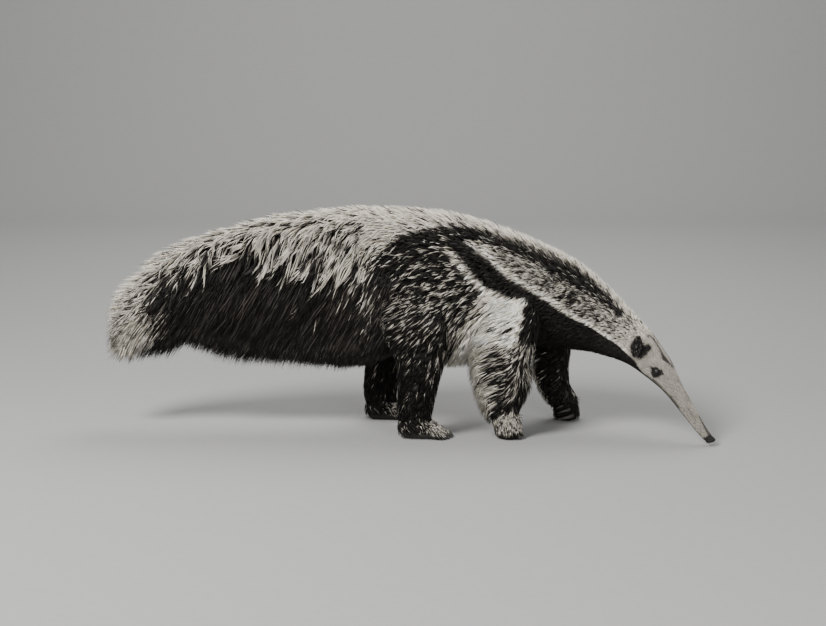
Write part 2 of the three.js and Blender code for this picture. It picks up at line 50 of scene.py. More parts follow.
# Sections of the body from the end of the tail's hair to the nose, in millimetres: the centre, the lean of
# its plane in degrees, the reach of the flesh above, below and beside the centre, and the coat's depth there.
BODY = [
    ((-850, 0, 258), -72, (4, 4, 4), (78, 48, 26)),
    ((-835, 0, 340), -50, (9, 10, 8), (94, 128, 42)),
    ((-798, 0, 404), -36, (16, 18, 13), (74, 182, 50)),
    ((-740, 0, 466), -27, (22, 28, 18), (60, 242, 56)),
    ((-650, 0, 522), -19, (26, 36, 22), (44, 300, 60)),
    ((-540, 0, 562), -12, (29, 42, 26), (32, 328, 63)),
    ((-420, 0, 586), -5, (34, 48, 30), (36, 342, 65)),
    ((-300, 0, 595), -2, (42, 57, 38), (34, 341, 66)),
    ((-205, 0, 584), 0, (58, 76, 50), (38, 314, 62)),
    ((-130, 0, 545), 0, (100, 140, 84), (38, 202, 46)),
    ((-40, 0, 484), 2, (160, 190, 112), (35, 64, 34)),
    ((70, 0, 460), 6, (174, 205, 124), (36, 40, 28)),
    ((190, 0, 440), 13, (166, 200, 124), (32, 32, 26)),
    ((310, 0, 412), 22, (152, 176, 110), (27, 22, 22)),
    ((430, -5, 377), 30, (131, 134, 88), (23, 14, 16)),
    ((548, -35, 335), 35, (90, 101, 66), (16, 11, 12)),
    ((620, -70, 298), 39, (66, 75, 54), (10, 8, 7)),
    ((674, -104, 262), 44, (52, 57, 47), (4, 4, 3)),
    ((724, -135, 211), 50, (40, 43, 39), (1.5, 1.5, 1.5)),
    ((757, -153, 165), 54, (29, 28, 27), (1, 1, 1)),
    ((797, -174, 108), 55, (21.5, 21.5, 19.5), (0.5, 0.5, 0.5)),
    ((835, -193, 52), 56, (15.5, 15.5, 14.5), (0.5, 0.5, 0.5)),
    ((862, -206, 17), 58, (13, 12, 12), (0.3, 0.3, 0.3)),
]
# Sections of each leg from its root to the wrist or ankle, with reaches to the front, back and side.
FORELEG = {
    "right": [
        ((312, -76, 420), (74, 76, 44), (12, 14, 12)),
        ((294, -108, 330), (66, 70, 44), (14, 36, 14)),
        ((274, -118, 240), (52, 52, 40), (32, 70, 14)),
        ((272, -118, 165), (42, 42, 35), (46, 62, 12)),
        ((274, -116, 98), (33, 34, 31), (10, 42, 8)),
        ((280, -115, 60), (31, 32, 31), (6, 14, 5)),
    ],
    "left": [
        ((330, 76, 420), (74, 76, 44), (12, 14, 12)),
        ((398, 104, 325), (60, 64, 44), (14, 26, 14)),
        ((436, 112, 240), (42, 46, 40), (12, 34, 13)),
        ((434, 112, 165), (36, 38, 34), (14, 32, 11)),
        ((448, 110, 98), (33, 33, 31), (9, 22, 7)),
        ((472, 109, 60), (34, 33, 31), (5, 8, 5)),
    ],
}
HINDLEG = {
    "right": [
        ((-20, -76, 440), (100, 92, 48), (14, 16, 14)),
        ((8, -108, 340), (92, 86, 48), (16, 20, 18)),
        ((28, -118, 245), (58, 64, 44), (13, 22, 16)),
        ((18, -117, 160), (44, 46, 38), (13, 20, 13)),
        ((8, -115, 98), (40, 42, 35), (14, 18, 11)),
        ((6, -114, 64), (40, 40, 34), (10, 10, 8)),
    ],
    "left": [
        ((-20, 76, 440), (100, 92, 48), (14, 16, 14)),
        ((-40, 108, 340), (90, 78, 48), (16, 20, 18)),
        ((-66, 116, 245), (64, 58, 44), (14, 20, 16)),
        ((-92, 116, 160), (45, 42, 38), (12, 18, 13)),
        ((-100, 115, 98), (40, 40, 35), (13, 16, 11)),
        ((-98, 114, 64), (40, 40, 34), (9, 10, 8)),
    ],
}
LEGS = {"foreleg": FORELEG, "hindleg": HINDLEG}
# The skin and hair of a leg go on into the foot, to this section below its last one.
LEG_END = {
    "foreleg": ((2, 0, -30), (33, 34, 34), (5, 6, 5)),
    "hindleg": ((8, 0, -28), (38, 26, 32), (8, 8, 7)),
}

# The eye and its lids in millimetres. The opening is half as long and half as high as these.
EYE = {"section": 18, "from_top": 84, "radius": 8.5, "sunk": 5, "opening": (7.6, 4.7), "lid": 1.2}
# The ear: radii across and up, how deep its cup is, and how it is set on the head.
EAR = {"section": 16.95, "from_top": 80, "stands_out": 4}
EAR_SET = {"right": (0.62, 10), "left": (1.25, 1)}
EAR_SHAPE = {"across": 15.5, "up": 31, "deep": 11, "thick": 2.4}
NOSE_LONG = 8
# How far the nose's upper edge stands up and forward, in millimetres.
NOSE_FLARE = (5.0, 3.5)
NOSTRIL = {"beside": 5.6, "above": 3.2, "radii": (3.4, 2.3), "deep": 4.5}
MOUTH = {"from": -30, "low": -5.5, "half": 0.9, "deep": 2.6}

# The forefoot bears on its outer side with its claws curled inward. Palm sections give how far forward and
# how high each is and its reaches to the front, back and side. The rest goes forward, outward and up.
HAND_PALM = [
    (0, 61, 31, 32, 31),
    (3, 38, 35, 35, 35),
    (4, 18, 35, 35, 36),
    (4, -4, 28, 28, 29),
]
KNUCKLE = (15, 12.5, 17)
KNUCKLES = [(22, -18, 26), (26, 2, 22), (19, 22, 20)]
FORECLAWS = {
    1: (4, [(-6, -28, 50), (-14, -38, 49), (-24, -41, 46), (-33, -40, 42)]),
    2: (6.5, [(16, -24, 40), (6, -41, 38), (-12, -47, 34), (-31, -43, 27)]),
    3: (8.5, [(24, -16, 20), (17, -39, 18), (-6, -49, 14), (-37, -44, 8)]),
    4: (4.5, [(27, 8, 16), (38, 12, 14), (45, 18, 10), (47, 27, 5)]),
}
# The hind foot is set flat. Its sections give forward, up, and the reaches above, below and beside.
FOOT_SECTIONS = [
    (-45, 33, 9, 13, 14),
    (-36, 35, 27, 31, 28),
    (-18, 36, 35, 39, 33),
    (14, 37, 36, 43, 37),
    (44, 27, 25, 33, 38),
    (68, 18, 18, 24, 38),
    (80, 14, 12, 18, 34),
]
TOE = (18, 7.6, 11.5)
TOE_HIGH = 11
TOES = [-30, -15, 0, 15, 30]
TOE_REACH = [66, 77, 81, 77, 66]
HINDCLAW = (5, [(6, 12), (18, 13), (27, 10), (35, 3.5)])

# Where the camera stood, how far it looked down and its focal length in widths of the picture.
CAMERA_PLACE = (0, -4.6, 1.21)
CAMERA_DOWN = 10.54
CAMERA_FOCAL = 1560 / 826

# Colours, as the light that they send back.
PALE = (0.60, 0.555, 0.475)
DARK = (0.016, 0.0135, 0.012)

# How far to look along a sweep for its direction, and the least share of the way where its coat is drawn.
LOOK = 1e-4
FIRST = 0.004
# How far along the body the places beside it are looked for.
BESIDE_TO = 0.6


def packed_shift():
    """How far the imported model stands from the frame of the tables, by its claws and feet."""
    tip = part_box("foreclaw_1_right")[0].x
    drawn = (FORELEG["right"][-1][0][0] + FORECLAWS[1][1][-1][0]) * MM
    middle = [sum(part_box(f"hindfoot_{name}")[i].y for i in range(2)) / 2 for name in SIDES]
    return np.array([tip - drawn, sum(middle) / 2, 0])


SHIFT = packed_shift()


def unit(v):
    """Each vector made one long."""
    return v / np.maximum(np.linalg.norm(v, axis=-1, keepdims=True), 1e-12)


def smooth(low, high, x):
    """0 below low and 1 above high, turning smoothly between them."""
    t = np.clip((np.asarray(x, float) - low) / (high - low), 0, 1)
    return t * t * (3 - 2 * t)


def band(low, high, soft, x):
    """1 between low and high and 0 outside, with soft edges."""
    return smooth(low - soft, low + soft, x) * (1 - smooth(high - soft, high + soft, x))


def spline(rows, t):
    """A smooth curve through rows of numbers, at the shares t of its way."""
    rows = np.asarray(rows, float)
    count = len(rows)
    place = np.clip(t, 0, 1) * (count - 1)
    i = np.minimum(place.astype(int), count - 2)
    w = (place - i)[..., None]
    ends = np.vstack([2 * rows[:1] - rows[1:2], rows, 2 * rows[-1:] - rows[-2:-1]])
    p0, p1, p2, p3 = (ends[i + k] for k in range(4))
    leave, arrive = 0.5 * (p2 - p0), 0.5 * (p3 - p1)
    return p1 + w * (leave + w * (3 * (p2 - p1) - 2 * leave - arrive + w * (2 * (p1 - p2) + leave + arrive)))


class Sweep:
    """A form swept through its sections. A point of it is found by the share t of the way along, the angle a
    round from the left side over the top or front, and the height h in the coat, from 0 at the skin to 1 at
    the tips."""

    def __init__(self, centres, flesh, coat, leans=None):
        self.centres = np.asarray(centres, float) * MM + SHIFT
        self.flesh = np.asarray(flesh, float) * MM
        self.coat = np.asarray(coat, float) * MM
        self.leans = leans
        self.last = len(centres) - 1

    def frame(self, t):
        """The centre of a section and its ways ahead, to the left and up."""
        before, after = (spline(self.centres, np.clip(t + step, 0, 1)) for step in (-LOOK, LOOK))
        ahead = unit(after - before)
        if self.leans is None:
            side = unit(np.array([0, 1, 0]) - ahead * ahead[..., 1:2])
        else:
            side = unit(np.cross((0, 0, 1), ahead))
            lean = np.radians(spline(np.reshape(self.leans, (-1, 1)), t))
            ahead = np.cross(side, (0, 0, 1)) * np.cos(lean) - np.array([0, 0, 1]) * np.sin(lean)
        return spline(self.centres, t), ahead, side, np.cross(ahead, side)

    def point(self, t, a, h):
        t, a, h = np.broadcast_arrays(np.asarray(t, float), a, h)
        centre, _, side, up = self.frame(t)
        reach = spline(self.flesh, t) + spline(self.coat, t) * h[..., None]
        c, s = np.cos(a), np.sin(a)
        tall = np.where(s > 0, reach[..., 0], reach[..., 1])
        return centre + side * (c * reach[..., 2])[..., None] + up * (s * tall)[..., None]

    def run(self, t, a, h):
        """The same, but going straight on past the first section where t is below it."""
        near = np.maximum(t, FIRST)
        at = self.point(near, a, h)
        return at + (at - self.point(near + 1e-3, a, h)) * ((near - t) / 1e-3)[..., None]

    def outward(self, t, a):
        """The way that the coat stands out from the skin."""
        at = self.point(t, a, 0)
        return unit(self.point(t, a, 0.02) - at + 0.02 * (at - self.frame(t)[0]))

    def slopes(self, t, a, h):
        """How a point moves with t and with a, in metres to a unit of each."""
        dt, da = 2e-3, 2e-2
        t = np.clip(t, 2 * dt, 1 - dt)
        along = (self.point(t + dt, a, h) - self.point(t - dt, a, h)) / (2 * dt)
        return along, (self.point(t, a + da, h) - self.point(t, a - da, h)) / (2 * da)

    def speeds(self, t, a, h):
        along, around = (np.linalg.norm(slope, axis=-1) for slope in self.slopes(t, a, h))
        return np.maximum(along, 0.02), np.maximum(around, 0.004)

    def flow(self, t, a, h, way, step):
        """The places a step further over the surface, in the direction nearest to a way in space."""
        along, around = self.slopes(t, a, h)
        aa, ar, rr = (np.sum(p * q, axis=-1) for p, q in ((along, along), (along, around), (around, around)))
        wa, wr = np.sum(along * way, axis=-1), np.sum(around * way, axis=-1)
        det = np.maximum(aa * rr - ar**2, 1e-12)
        dt, da = (wa * rr - wr * ar) / det, (wr * aa - wa * ar) / det
        long = np.linalg.norm(along * dt[..., None] + around * da[..., None], axis=-1)
        scale = step / np.maximum(long, 0.3)
        return t + dt * scale, a + da * scale

    def beside(self, places):
        """For places in the middle plane: the share of the way, how far down to the lower edge as a share of
        its depth, and how wide the form is there."""
        low, high = np.zeros(places.shape[:-1]), np.full(places.shape[:-1], BESIDE_TO)
        for _ in range(18):
            t = (low + high) / 2
            centre, ahead, _, _ = self.frame(t)
            in_front = np.sum((places - centre) * ahead, axis=-1) > 0
            low, high = np.where(in_front, t, low), np.where(in_front, high, t)
        centre, _, _, up = self.frame(t)
        reach = spline(self.flesh, t) + spline(self.coat, t)
        above = np.sum((places - centre) * up, axis=-1)
        ratio = above / np.where(above > 0, reach[..., 0], reach[..., 1])
        return t, -ratio, reach[..., 2] * np.sqrt(np.clip(1 - ratio**2, 0.02, 1))

    def holds(self, points, h, samples=160):
        """Which points are inside the form."""
        t = np.linspace(0, 1, samples)
        centre, ahead, side, up = self.frame(t)
        reach = spline(self.flesh, t) + spline(self.coat, t) * h
        spacing = np.linalg.norm(centre[1:] - centre[:-1], axis=1).max()
        inside = np.zeros(len(points), bool)
        for i in range(samples):
            away = points - centre[i]
            beside, above = away @ side[i], away @ up[i]
            tall = np.where(above > 0, reach[i, 0], reach[i, 1])
            ratio = (beside / reach[i, 2]) ** 2 + (above / tall) ** 2
            inside |= (ratio < 1) & (np.abs(away @ ahead[i]) < spacing)
        return inside


def leg_sweep_of(kind, name):
    rows = LEGS[kind][name]
    away, flesh, coat = LEG_END[kind]
    end = tuple(at + by for at, by in zip(rows[-1][0], away))
    return Sweep(*([row[k] for row in rows] + [(end, flesh, coat)[k]] for k in range(3)))


body = Sweep(*([row[k] for row in BODY] for k in (0, 2, 3)), leans=[row[1] for row in BODY])
legs = {f"{kind}_{name}": leg_sweep_of(kind, name) for kind, both in LEGS.items() for name in both}


def angle_of(from_top, side):
    return np.pi / 2 - side * np.radians(from_top)


def place_on_body(section, from_top, side):
    """The place at the coat's edge at an angle from the top, with the ways outward, ahead and up there."""
    t = section / body.last
    at = body.point(t, angle_of(from_top, side), 1.0)
    rise = unit(body.point(t, angle_of(from_top - 2, side), 1.0) - at)
    ahead = unit(body.point(t + 1e-3, angle_of(from_top, side), 1.0) - at)
    return at, unit(np.cross(rise, ahead) * side), ahead, rise


# Markings. Each gives the share of pale hair and the share of dark hair with pale tips.
def between(table, x):
    """The value at x between the rows of a table of pairs."""
    xs, ys = zip(*table)
    return np.interp(x, xs, ys)


# The edges of the body's markings, as angles from the top by section.
MANTLE_EDGE = [
    (0, 178), (0.8, 150), (1.6, 96), (3, 90), (3.6, 104), (5.4, 94), (6.7, 117), (7.6, 121), (8.5, 112),
    (9.2, 90), (9.7, 60), (10.3, 44), (11, 32), (11.6, 25), (13, 21), (15, 18), (16, 24), (16.8, 60),
]
ARC_EDGE = [(9, 112), (9.5, 88), (10.2, 62), (11, 47), (11.6, 42)]
BAND_EDGE = [(11.4, 44), (12.6, 42), (13.2, 48), (14, 50), (15.4, 42), (16, 24)]
LINE_EDGE = [
    (11.3, 43), (11.6, 49), (12.5, 70), (13.2, 78), (14.4, 90), (16.4, 100), (17.2, 112), (18, 150),
    (20, 150),
]
STRIPE_EDGE = [
    (11, 50), (11.3, 60), (12.05, 84), (12.5, 87), (13.1, 96), (13.35, 112), (13.6, 140), (13.9, 180),
]
# Where the pale wedge above the foreleg starts, as sections by angle from the top.
WEDGE_START = [(55, 11.1), (75, 11.7), (88, 12.05), (107, 11.95), (120, 11.8), (141, 11.6), (172, 11.5)]
# The width of the white line in millimetres, and the radius of the neck, by section.
LINE_WIDE = [(11.4, 8), (11.9, 22), (12.6, 13), (14, 11), (16.4, 9)]
NECK_RADIUS = [(11, 170), (13, 120), (15, 85), (17, 50)]
# Shares of pale-tipped hair on the flank and of pale hair on the neck, and gaps in the mantle, partly dark
# underhair and partly painted shade between the locks down its sides, by section.
FLANK_FLECKS = [(9.8, 0.22), (10.8, 0.29), (11.8, 0.36)]
NECK_PALE = [
    (11.5, 0.58), (12.4, 0.44), (13.2, 0.28), (13.8, 0.16), (14.3, 0.10), (14.8, 0.32), (15.6, 0.45),
    (16.2, 0.7),
]
MANTLE_GAPS_AND_SHADE = [(0, 0.42), (1.5, 0.34), (4.5, 0.32), (5.8, 0.15), (8, 0.15)]


def stripe_and_lines(s, from_top):
    """The black stripe of the throat and shoulder, and the white lines along its upper and lower edges."""
    above, below = from_top - between(LINE_EDGE, s), from_top - between(STRIPE_EDGE, s)
    a_millimetre = 57 / between(NECK_RADIUS, s)
    stripe = smooth(-0.8, 0.8, above) * (1 - smooth(-0.8, 0.8, below)) * smooth(11.1, 11.3, s)
    wide = between(LINE_WIDE, s) * a_millimetre
    upper = band(-wide, 0, 0.8, above) * smooth(11.4, 11.6, s) * (1 - smooth(16.9, 17.3, s))
    lower = band(0, 16 * a_millimetre, 1.5, below) * smooth(11.0, 11.3, s) * (1 - smooth(13.2, 13.5, s))
    return stripe, np.maximum(upper, lower)


def body_markings(s, from_top):
    """The pale share and the pale-tipped share at a section and an angle from the top."""
    waves = 5 * np.sin(3.3 * s + 1.9) + 4 * np.sin(8.1 * s)
    edge = between(MANTLE_EDGE, s) + waves * band(2, 9.3, 0.5, s)
    mantle = 1 - smooth(-3, 3, from_top - edge)
    flank = smooth(-4, 4, from_top - between(ARC_EDGE, s)) * smooth(9.1, 9.7, s)
    pale = 0.01 + 0.10 * flank * band(10.9, 13, 0.5, s)
    fleck = 0.02 + between(FLANK_FLECKS, s) * flank * (1 - 0.5 * smooth(128, 165, from_top))
    line = between(LINE_EDGE, s)
    above_line = smooth(11.5, 11.9, s) * (1 - smooth(-2, 2, from_top - line))
    dark_band = 1 - smooth(-5, 5, from_top - between(BAND_EDGE, s))
    neck = between(NECK_PALE, s)
    pale = pale * (1 - above_line) + above_line * (neck - (neck - 0.02) * dark_band)
    fleck = fleck * (1 - above_line) + above_line * (0.42 - 0.32 * dark_band)
    wedge = smooth(-2, 2, from_top - between(STRIPE_EDGE, s))
    wedge = wedge * smooth(-0.2, 0.25, s - between(WEDGE_START, from_top))
    wedge = wedge * (1 - smooth(13.5, 13.9, s)) * smooth(11, 11.4, s)
    stripe, lines = stripe_and_lines(s, from_top)
    pale = np.maximum(pale * (1 - stripe), np.maximum(lines, 0.98 * wedge))
    fleck = fleck * (1 - stripe) * (1 - wedge) + 0.01
    fleck = np.maximum(fleck, 0.6 * smooth(104, 112, from_top) * band(6.0, 9.3, 0.3, s))
    face = smooth(16.3, 17.1, s) * (1 - smooth(-6, 6, from_top - line))
    pale = np.maximum(pale, face)
    rump = np.exp(-(((s - 8.55) / 0.4) ** 2) - ((from_top - 60 + 30 * (s - 8.55)) / 11) ** 2)
    # Gaps in the mantle, more of them down its sides: partly dark underhair and partly painted shade between
    # the locks, with a dark patch on the rump.
    gaps_and_shade = between(MANTLE_GAPS_AND_SHADE, s) * smooth(38, 90, from_top) * (1 - smooth(9, 10, s)) + 0.5 * rump
    pale = np.maximum(pale, (0.91 - gaps_and_shade) * mantle)
    return np.clip(pale, 0, 1), np.clip(fleck, 0, 1)


HINDLEG_FLECKS = [(0.6, 0.30), (1.3, 0.20), (1.9, 0.08), (4, 0.06)]


def leg_markings(kind, s, outer, front):
    """The same on a leg, where outer and front run from -1 to 1 round it. Its inner side, facing the body, is
    left dark as painted shade.
    """
    # No pale hair or flecks on the inner side, where the leg faces the body: painted shade.
    outside = smooth(-0.55, -0.1, outer)
    if kind == "foreleg":
        upper = 1 - smooth(-0.07, 0.07, s + 0.17 * front - 1.58)
        fold = (1 - smooth(0.03, 0.09, np.abs(s - 1.36 + 0.3 * front))) * smooth(0.1, 0.4, front)
        upper = upper * (1 - 0.85 * fold)
        fringe = smooth(0.62, 0.84, -front) * (1 - smooth(4.0, 4.5, s))
        wrist = band(3.45, 4.35, 0.12, s + 0.1 * front)
        hand = smooth(4.3, 4.55, s)
        chest = smooth(0.18, 0.36, front) * (1 - smooth(1.3, 1.6, s))
        pale = np.maximum(0.98 * upper, 0.92 * fringe)
        pale = np.maximum(np.maximum(pale, 0.16), 0.42 * hand) * (1 - wrist * (1 - fringe)) * (1 - chest)
        fleck = 0.34 * (1 - 0.9 * wrist) * (1 - chest)
        return pale * outside, fleck * outside + 0.01
    fleck = between(HINDLEG_FLECKS, s) * outside
    return 0.06 * (1 - smooth(0.8, 1.4, s)) * outside, fleck + 0.01


def mixed(one, other, share):
    return np.asarray(one) * (1 - share[..., None]) + np.asarray(other) * share[..., None]


def skin_colour(pale, fleck):
    return mixed(np.asarray(DARK) * 1.4, np.asarray(PALE) * 0.72, np.clip(0.85 * pale + 0.18 * fleck, 0, 1))


# Patches of the face: section and half length, angle from the top and half height, how the edge turns, how
# dark the patch is, and between which distances it fades. They are the eye, the ear's root and smaller ones.
FACE_PATCHES = [
    (18.06, 0.265, 86, 25, 1.2, 1, (0.75, 1.3)),
    (17.13, 0.22, 68, 31, 2.6, 1, (0.75, 1.25)),
    (17.25, 0.16, 106, 14, 0.6, 0.5, (0.5, 1.4)),
    (20.28, 0.34, 64, 15, 0.2, 0.66, (0.5, 1.4)),
    (19.4, 0.3, 93, 13, 0.9, 0.55, (0.4, 1.4)),
]
# The painted shadow line under the brow's crest and its width, the lower edge of the dark top of the snout's
# end, and the upper edge of the jaw's dark underside, which is the throat's black line going on with painted
# shade under the head, as angles from the top by section.
BROW_SHADOW_LINE = [(16.7, 27), (16.9, 9), (17.3, 9), (17.75, 22), (18.1, 12), (18.35, 2)]
BROW_SHADOW_WIDE = [(16.8, 5), (17.5, 5), (17.8, 11), (18.0, 9), (18.3, 6)]
TOP_EDGE = [(19.2, 6), (19.9, 6), (20.4, 14), (21, 26), (21.4, 44), (21.8, 64)]
JAW_LINE_AND_SHADE_EDGE = [
    (16.8, 146), (17.25, 141), (17.8, 128), (18.35, 117), (19.05, 119), (19.4, 111), (19.8, 109), (20.1, 125),
]


def face_darkness(s, from_top):
    """How dark the lines and patches of the face are, with the nose and the fur round them, and the painted
    shade along the brow and under the jaw.
    """
    shares = []
    for section, wide, angle, high, bumps, dark, fade in FACE_PATCHES:
        x, y = (s - section) / wide, (from_top - angle) / high
        turn = np.arctan2(y, x)
        away = (x**2 + y**2) * (1 + 0.3 * np.sin(3 * turn + bumps) + 0.16 * np.sin(7 * turn + 2 * bumps))
        shares.append(dark * (1 - smooth(*fade, away)))
    brow = np.abs(from_top - between(BROW_SHADOW_LINE, s)) / between(BROW_SHADOW_WIDE, s)
    smudges = np.sin(11 * s + 0.05 * from_top) * np.sin(4.3 * s - 0.085 * from_top)
    shares += [
        # Painted shadow of the head's crest, along the brow.
        0.95 * (1 - smooth(0.6, 1.6, brow)) * band(16.75, 18.35, 0.06, s),
        0.62 * (1 - smooth(12, 24, from_top)) * band(18.75, 20.2, 0.1, s),
        0.85 * smooth(-4, 4, between(TOP_EDGE, s) - from_top) * smooth(20.35, 20.6, s),
        # The jaw's dark underside: the throat's black line going on, and painted shade under the head.
        0.85 * smooth(-7, 5, from_top - between(JAW_LINE_AND_SHADE_EDGE, s)) * band(16.9, 20.0, 0.12, s),
        0.7 * band(21.2, 21.5, 0.06, s) * smooth(95, 110, from_top),
        smooth(21.5, 21.75, s),
        0.5 * smooth(0.2, 0.9, smudges) * band(17.2, 21, 0.3, s),
        0.52 * smooth(16.5, 17.3, s),
    ]
    return np.max(np.broadcast_arrays(*shares), axis=0)


def head_colour(s, from_top, colour):
    spots = band(18.5, 21.2, 0.2, s) * 0.12
    return mixed(colour, np.asarray(DARK) * 0.6, np.clip(face_darkness(s, from_top) + spots, 0, 1))


# The skin
def loft_faces(rings, count, poles=False):
    """Faces over closed rings of points, facing out where rings go forward and angles go from left to top.
    The ends are flat, or have fans of triangles to two poles, which follow the rings."""
    i, k = np.meshgrid(np.arange(rings - 1), np.arange(count), indexing="ij")
    nxt = (k + 1) % count
    quads = np.stack([i * count + k, i * count + nxt, (i + 1) * count + nxt, (i + 1) * count + k], axis=-1)
    faces = quads.reshape(-1, 4).tolist()
    last = (rings - 1) * count
    if not poles:
        return faces + [list(range(count))[::-1], list(range(last, last + count))]
    for here in range(count):
        following = (here + 1) % count
        faces.append([following, here, rings * count])
        faces.append([last + here, last + following, rings * count + 1])
    return faces


def placed(name, data):
    """A new object in the scene."""
    thing = bpy.data.objects.new(name, data)
    bpy.context.scene.collection.objects.link(thing)
    return thing


def mesh_object(name, points, faces):
    mesh = bpy.data.meshes.new(name)
    mesh.from_pydata(np.asarray(points).tolist(), [], [list(f) for f in faces])
    mesh.validate()
    mesh.shade_smooth()
    return placed(name, mesh)


def read(items, key, width=1, kind=np.int64):
    """A number of each item, or width numbers of each."""
    flat = np.zeros(len(items) * width, kind)
    items.foreach_get(key, flat)
    return flat.reshape(-1, width) if width > 1 else flat


def corner_points(mesh):
    return read(mesh.loops, "vertex_index")


def vertex_places(mesh):
    return read(mesh.vertices, "co", 3, np.float32).astype(float)


def baking_map(mesh):
    return read(mesh.uv_layers["OFBake"].data, "uv", 2, np.float32)


def set_corner_uv(mesh, layer, values):
    uv = mesh.uv_layers.get(layer) or mesh.uv_layers.new(name=layer)
    uv.data.foreach_set("uv", np.asarray(values, np.float32).ravel())


def set_colours(mesh, values, domain="CORNER"):
    """The colours of hair and skin, which the materials read."""
    attribute = mesh.color_attributes.new("coat", "FLOAT_COLOR", domain)
    rgba = np.ones((len(values), 4), np.float32)
    rgba[:, :3] = values
    attribute.data.foreach_set("color", rgba.ravel())


# Each chart of the skin's unwrap is a corner and a size. The body has the upper half, and each leg and foot a
# part of the lower one.
CHARTS = {"body": (0.01, 0.51, 0.98, 0.48)}
for number, name in enumerate(legs):
    CHARTS[name] = (0.01 + 0.25 * number, 0.27, 0.23, 0.22)
    CHARTS["foot_" + name] = (0.01 + 0.25 * number, 0.01, 0.23, 0.24)


def chart_uv(chart, along, around):
    x, y, wide, high = CHARTS[chart]
    return np.stack([x + wide * np.clip(along, 0, 1), y + high * np.clip(around, 0, 1)], axis=-1)


class Loft:
    """A sweep with its place on the skin's unwrap."""

    def __init__(self, sweep, chart):
        self.sweep, self.chart = sweep, chart
        way = np.linspace(0, 1, 400)
        steps = np.linalg.norm(np.diff(spline(sweep.centres, way), axis=0), axis=1)
        self.length = steps.sum()
        self.way = way, np.concatenate([[0], np.cumsum(steps)]) / self.length

    def along(self, t):
        return np.interp(t, *self.way)

    def uv(self, t, a):
        """The place on the unwrap. It is cut open along the underside or the back."""
        return chart_uv(self.chart, self.along(t), np.mod(a + np.pi / 2, 2 * np.pi) / (2 * np.pi))


BODY_FACES_ROUND_HALF = 64
# How far apart the rings of the body's skin are, in sections. They are closest at the eyes and the nose.
RING_STEPS = [
    (0, 0.35), (2, 0.14), (9, 0.1), (15, 0.06), (16.6, 0.024), (17.55, 0.02), (17.75, 0.011), (18.25, 0.011),
    (18.5, 0.022), (20.8, 0.022), (21.4, 0.014), (22, 0.011),
]


def body_angles():
    """Angles from the top on the left, closer together where the eyes are."""
    fine = np.linspace(0, 180, 721)
    weight = 1 + 2.6 * band(EYE["from_top"] - 18, EYE["from_top"] + 18, 6, fine)
    total = np.concatenate([[0], np.cumsum((weight[1:] + weight[:-1]) / 2)])
    places = np.arange(BODY_FACES_ROUND_HALF + 1) / BODY_FACES_ROUND_HALF
    return np.interp(places * total[-1], total, fine)


def body_shares():
    """Shares of the way for the rings of the body's skin."""
    sections = [0.0]
    while sections[-1] < body.last:
        sections.append(sections[-1] + between(RING_STEPS, sections[-1]))
    sections[-1] = body.last
    return np.array(sections) / body.last


def lids_and_eye(points, side):
    """Moves the skin's points round one eye over the ball, with lids, their opening and the folds beside
    them."""
    at, out, ahead, _ = place_on_body(EYE["section"], EYE["from_top"], side)
    rise = unit(np.cross(out, ahead)) * side
    local = (points - at) / MM
    u, v, w = local @ ahead, local @ rise, local @ out
    near = np.hypot(u, v)
    ball = EYE["radius"]
    chosen = (near < 26) & (w > -22)
    over = np.sqrt(np.maximum((ball + EYE["lid"]) ** 2 - near**2, 0)) - EYE["sunk"]
    soft = 1.6
    lid = 0.5 * (w + over + np.sqrt((w - over) ** 2 + soft**2)) - soft * 0.25 * (1 - smooth(9, 18, near))
    raised = np.where(near < ball + EYE["lid"] + 5, np.maximum(lid, w), w)
    long, high = EYE["opening"]
    tilt = v + 0.16 * u
    half = high * np.maximum(1 - np.abs(u / long) ** 2.2, 0) * np.where(tilt > 0, 0.95, 0.8)
    edge = np.abs(tilt) - half
    rim = np.exp(-((edge - 0.7) ** 2) / 0.8) * (1 - smooth(long, long + 2, np.abs(u)))
    crease = np.exp(-((np.hypot(u / 1.35, tilt) - 7.6) ** 2) / 0.7) * smooth(1, 4, tilt)
    under = np.exp(-((np.hypot(u / 1.3, tilt) - 8.4) ** 2) / 1.2) * smooth(1, 5, -tilt)
    brow = 1.8 * np.exp(-((u + 2) ** 2) / 160 - (v - 13) ** 2 / 22)
    tear = np.exp(-((u - long - 1.6) ** 2) / 3.2 - (tilt + 0.6) ** 2 / 1.2)
    fade = 1 - smooth(14, 26, near)
    raised = raised + 0.45 * rim - 0.75 * crease - 0.6 * under + brow * fade - 0.8 * tear
    bottom = np.sqrt(np.maximum(ball**2 - near**2, 0)) - EYE["sunk"] - 1.4
    inside = 1 - smooth(-0.55, 0.05, edge)
    target = raised * (1 - inside) + bottom * inside
    moved = np.where(chosen, target - w, 0) * MM
    return points + moved[:, None] * out


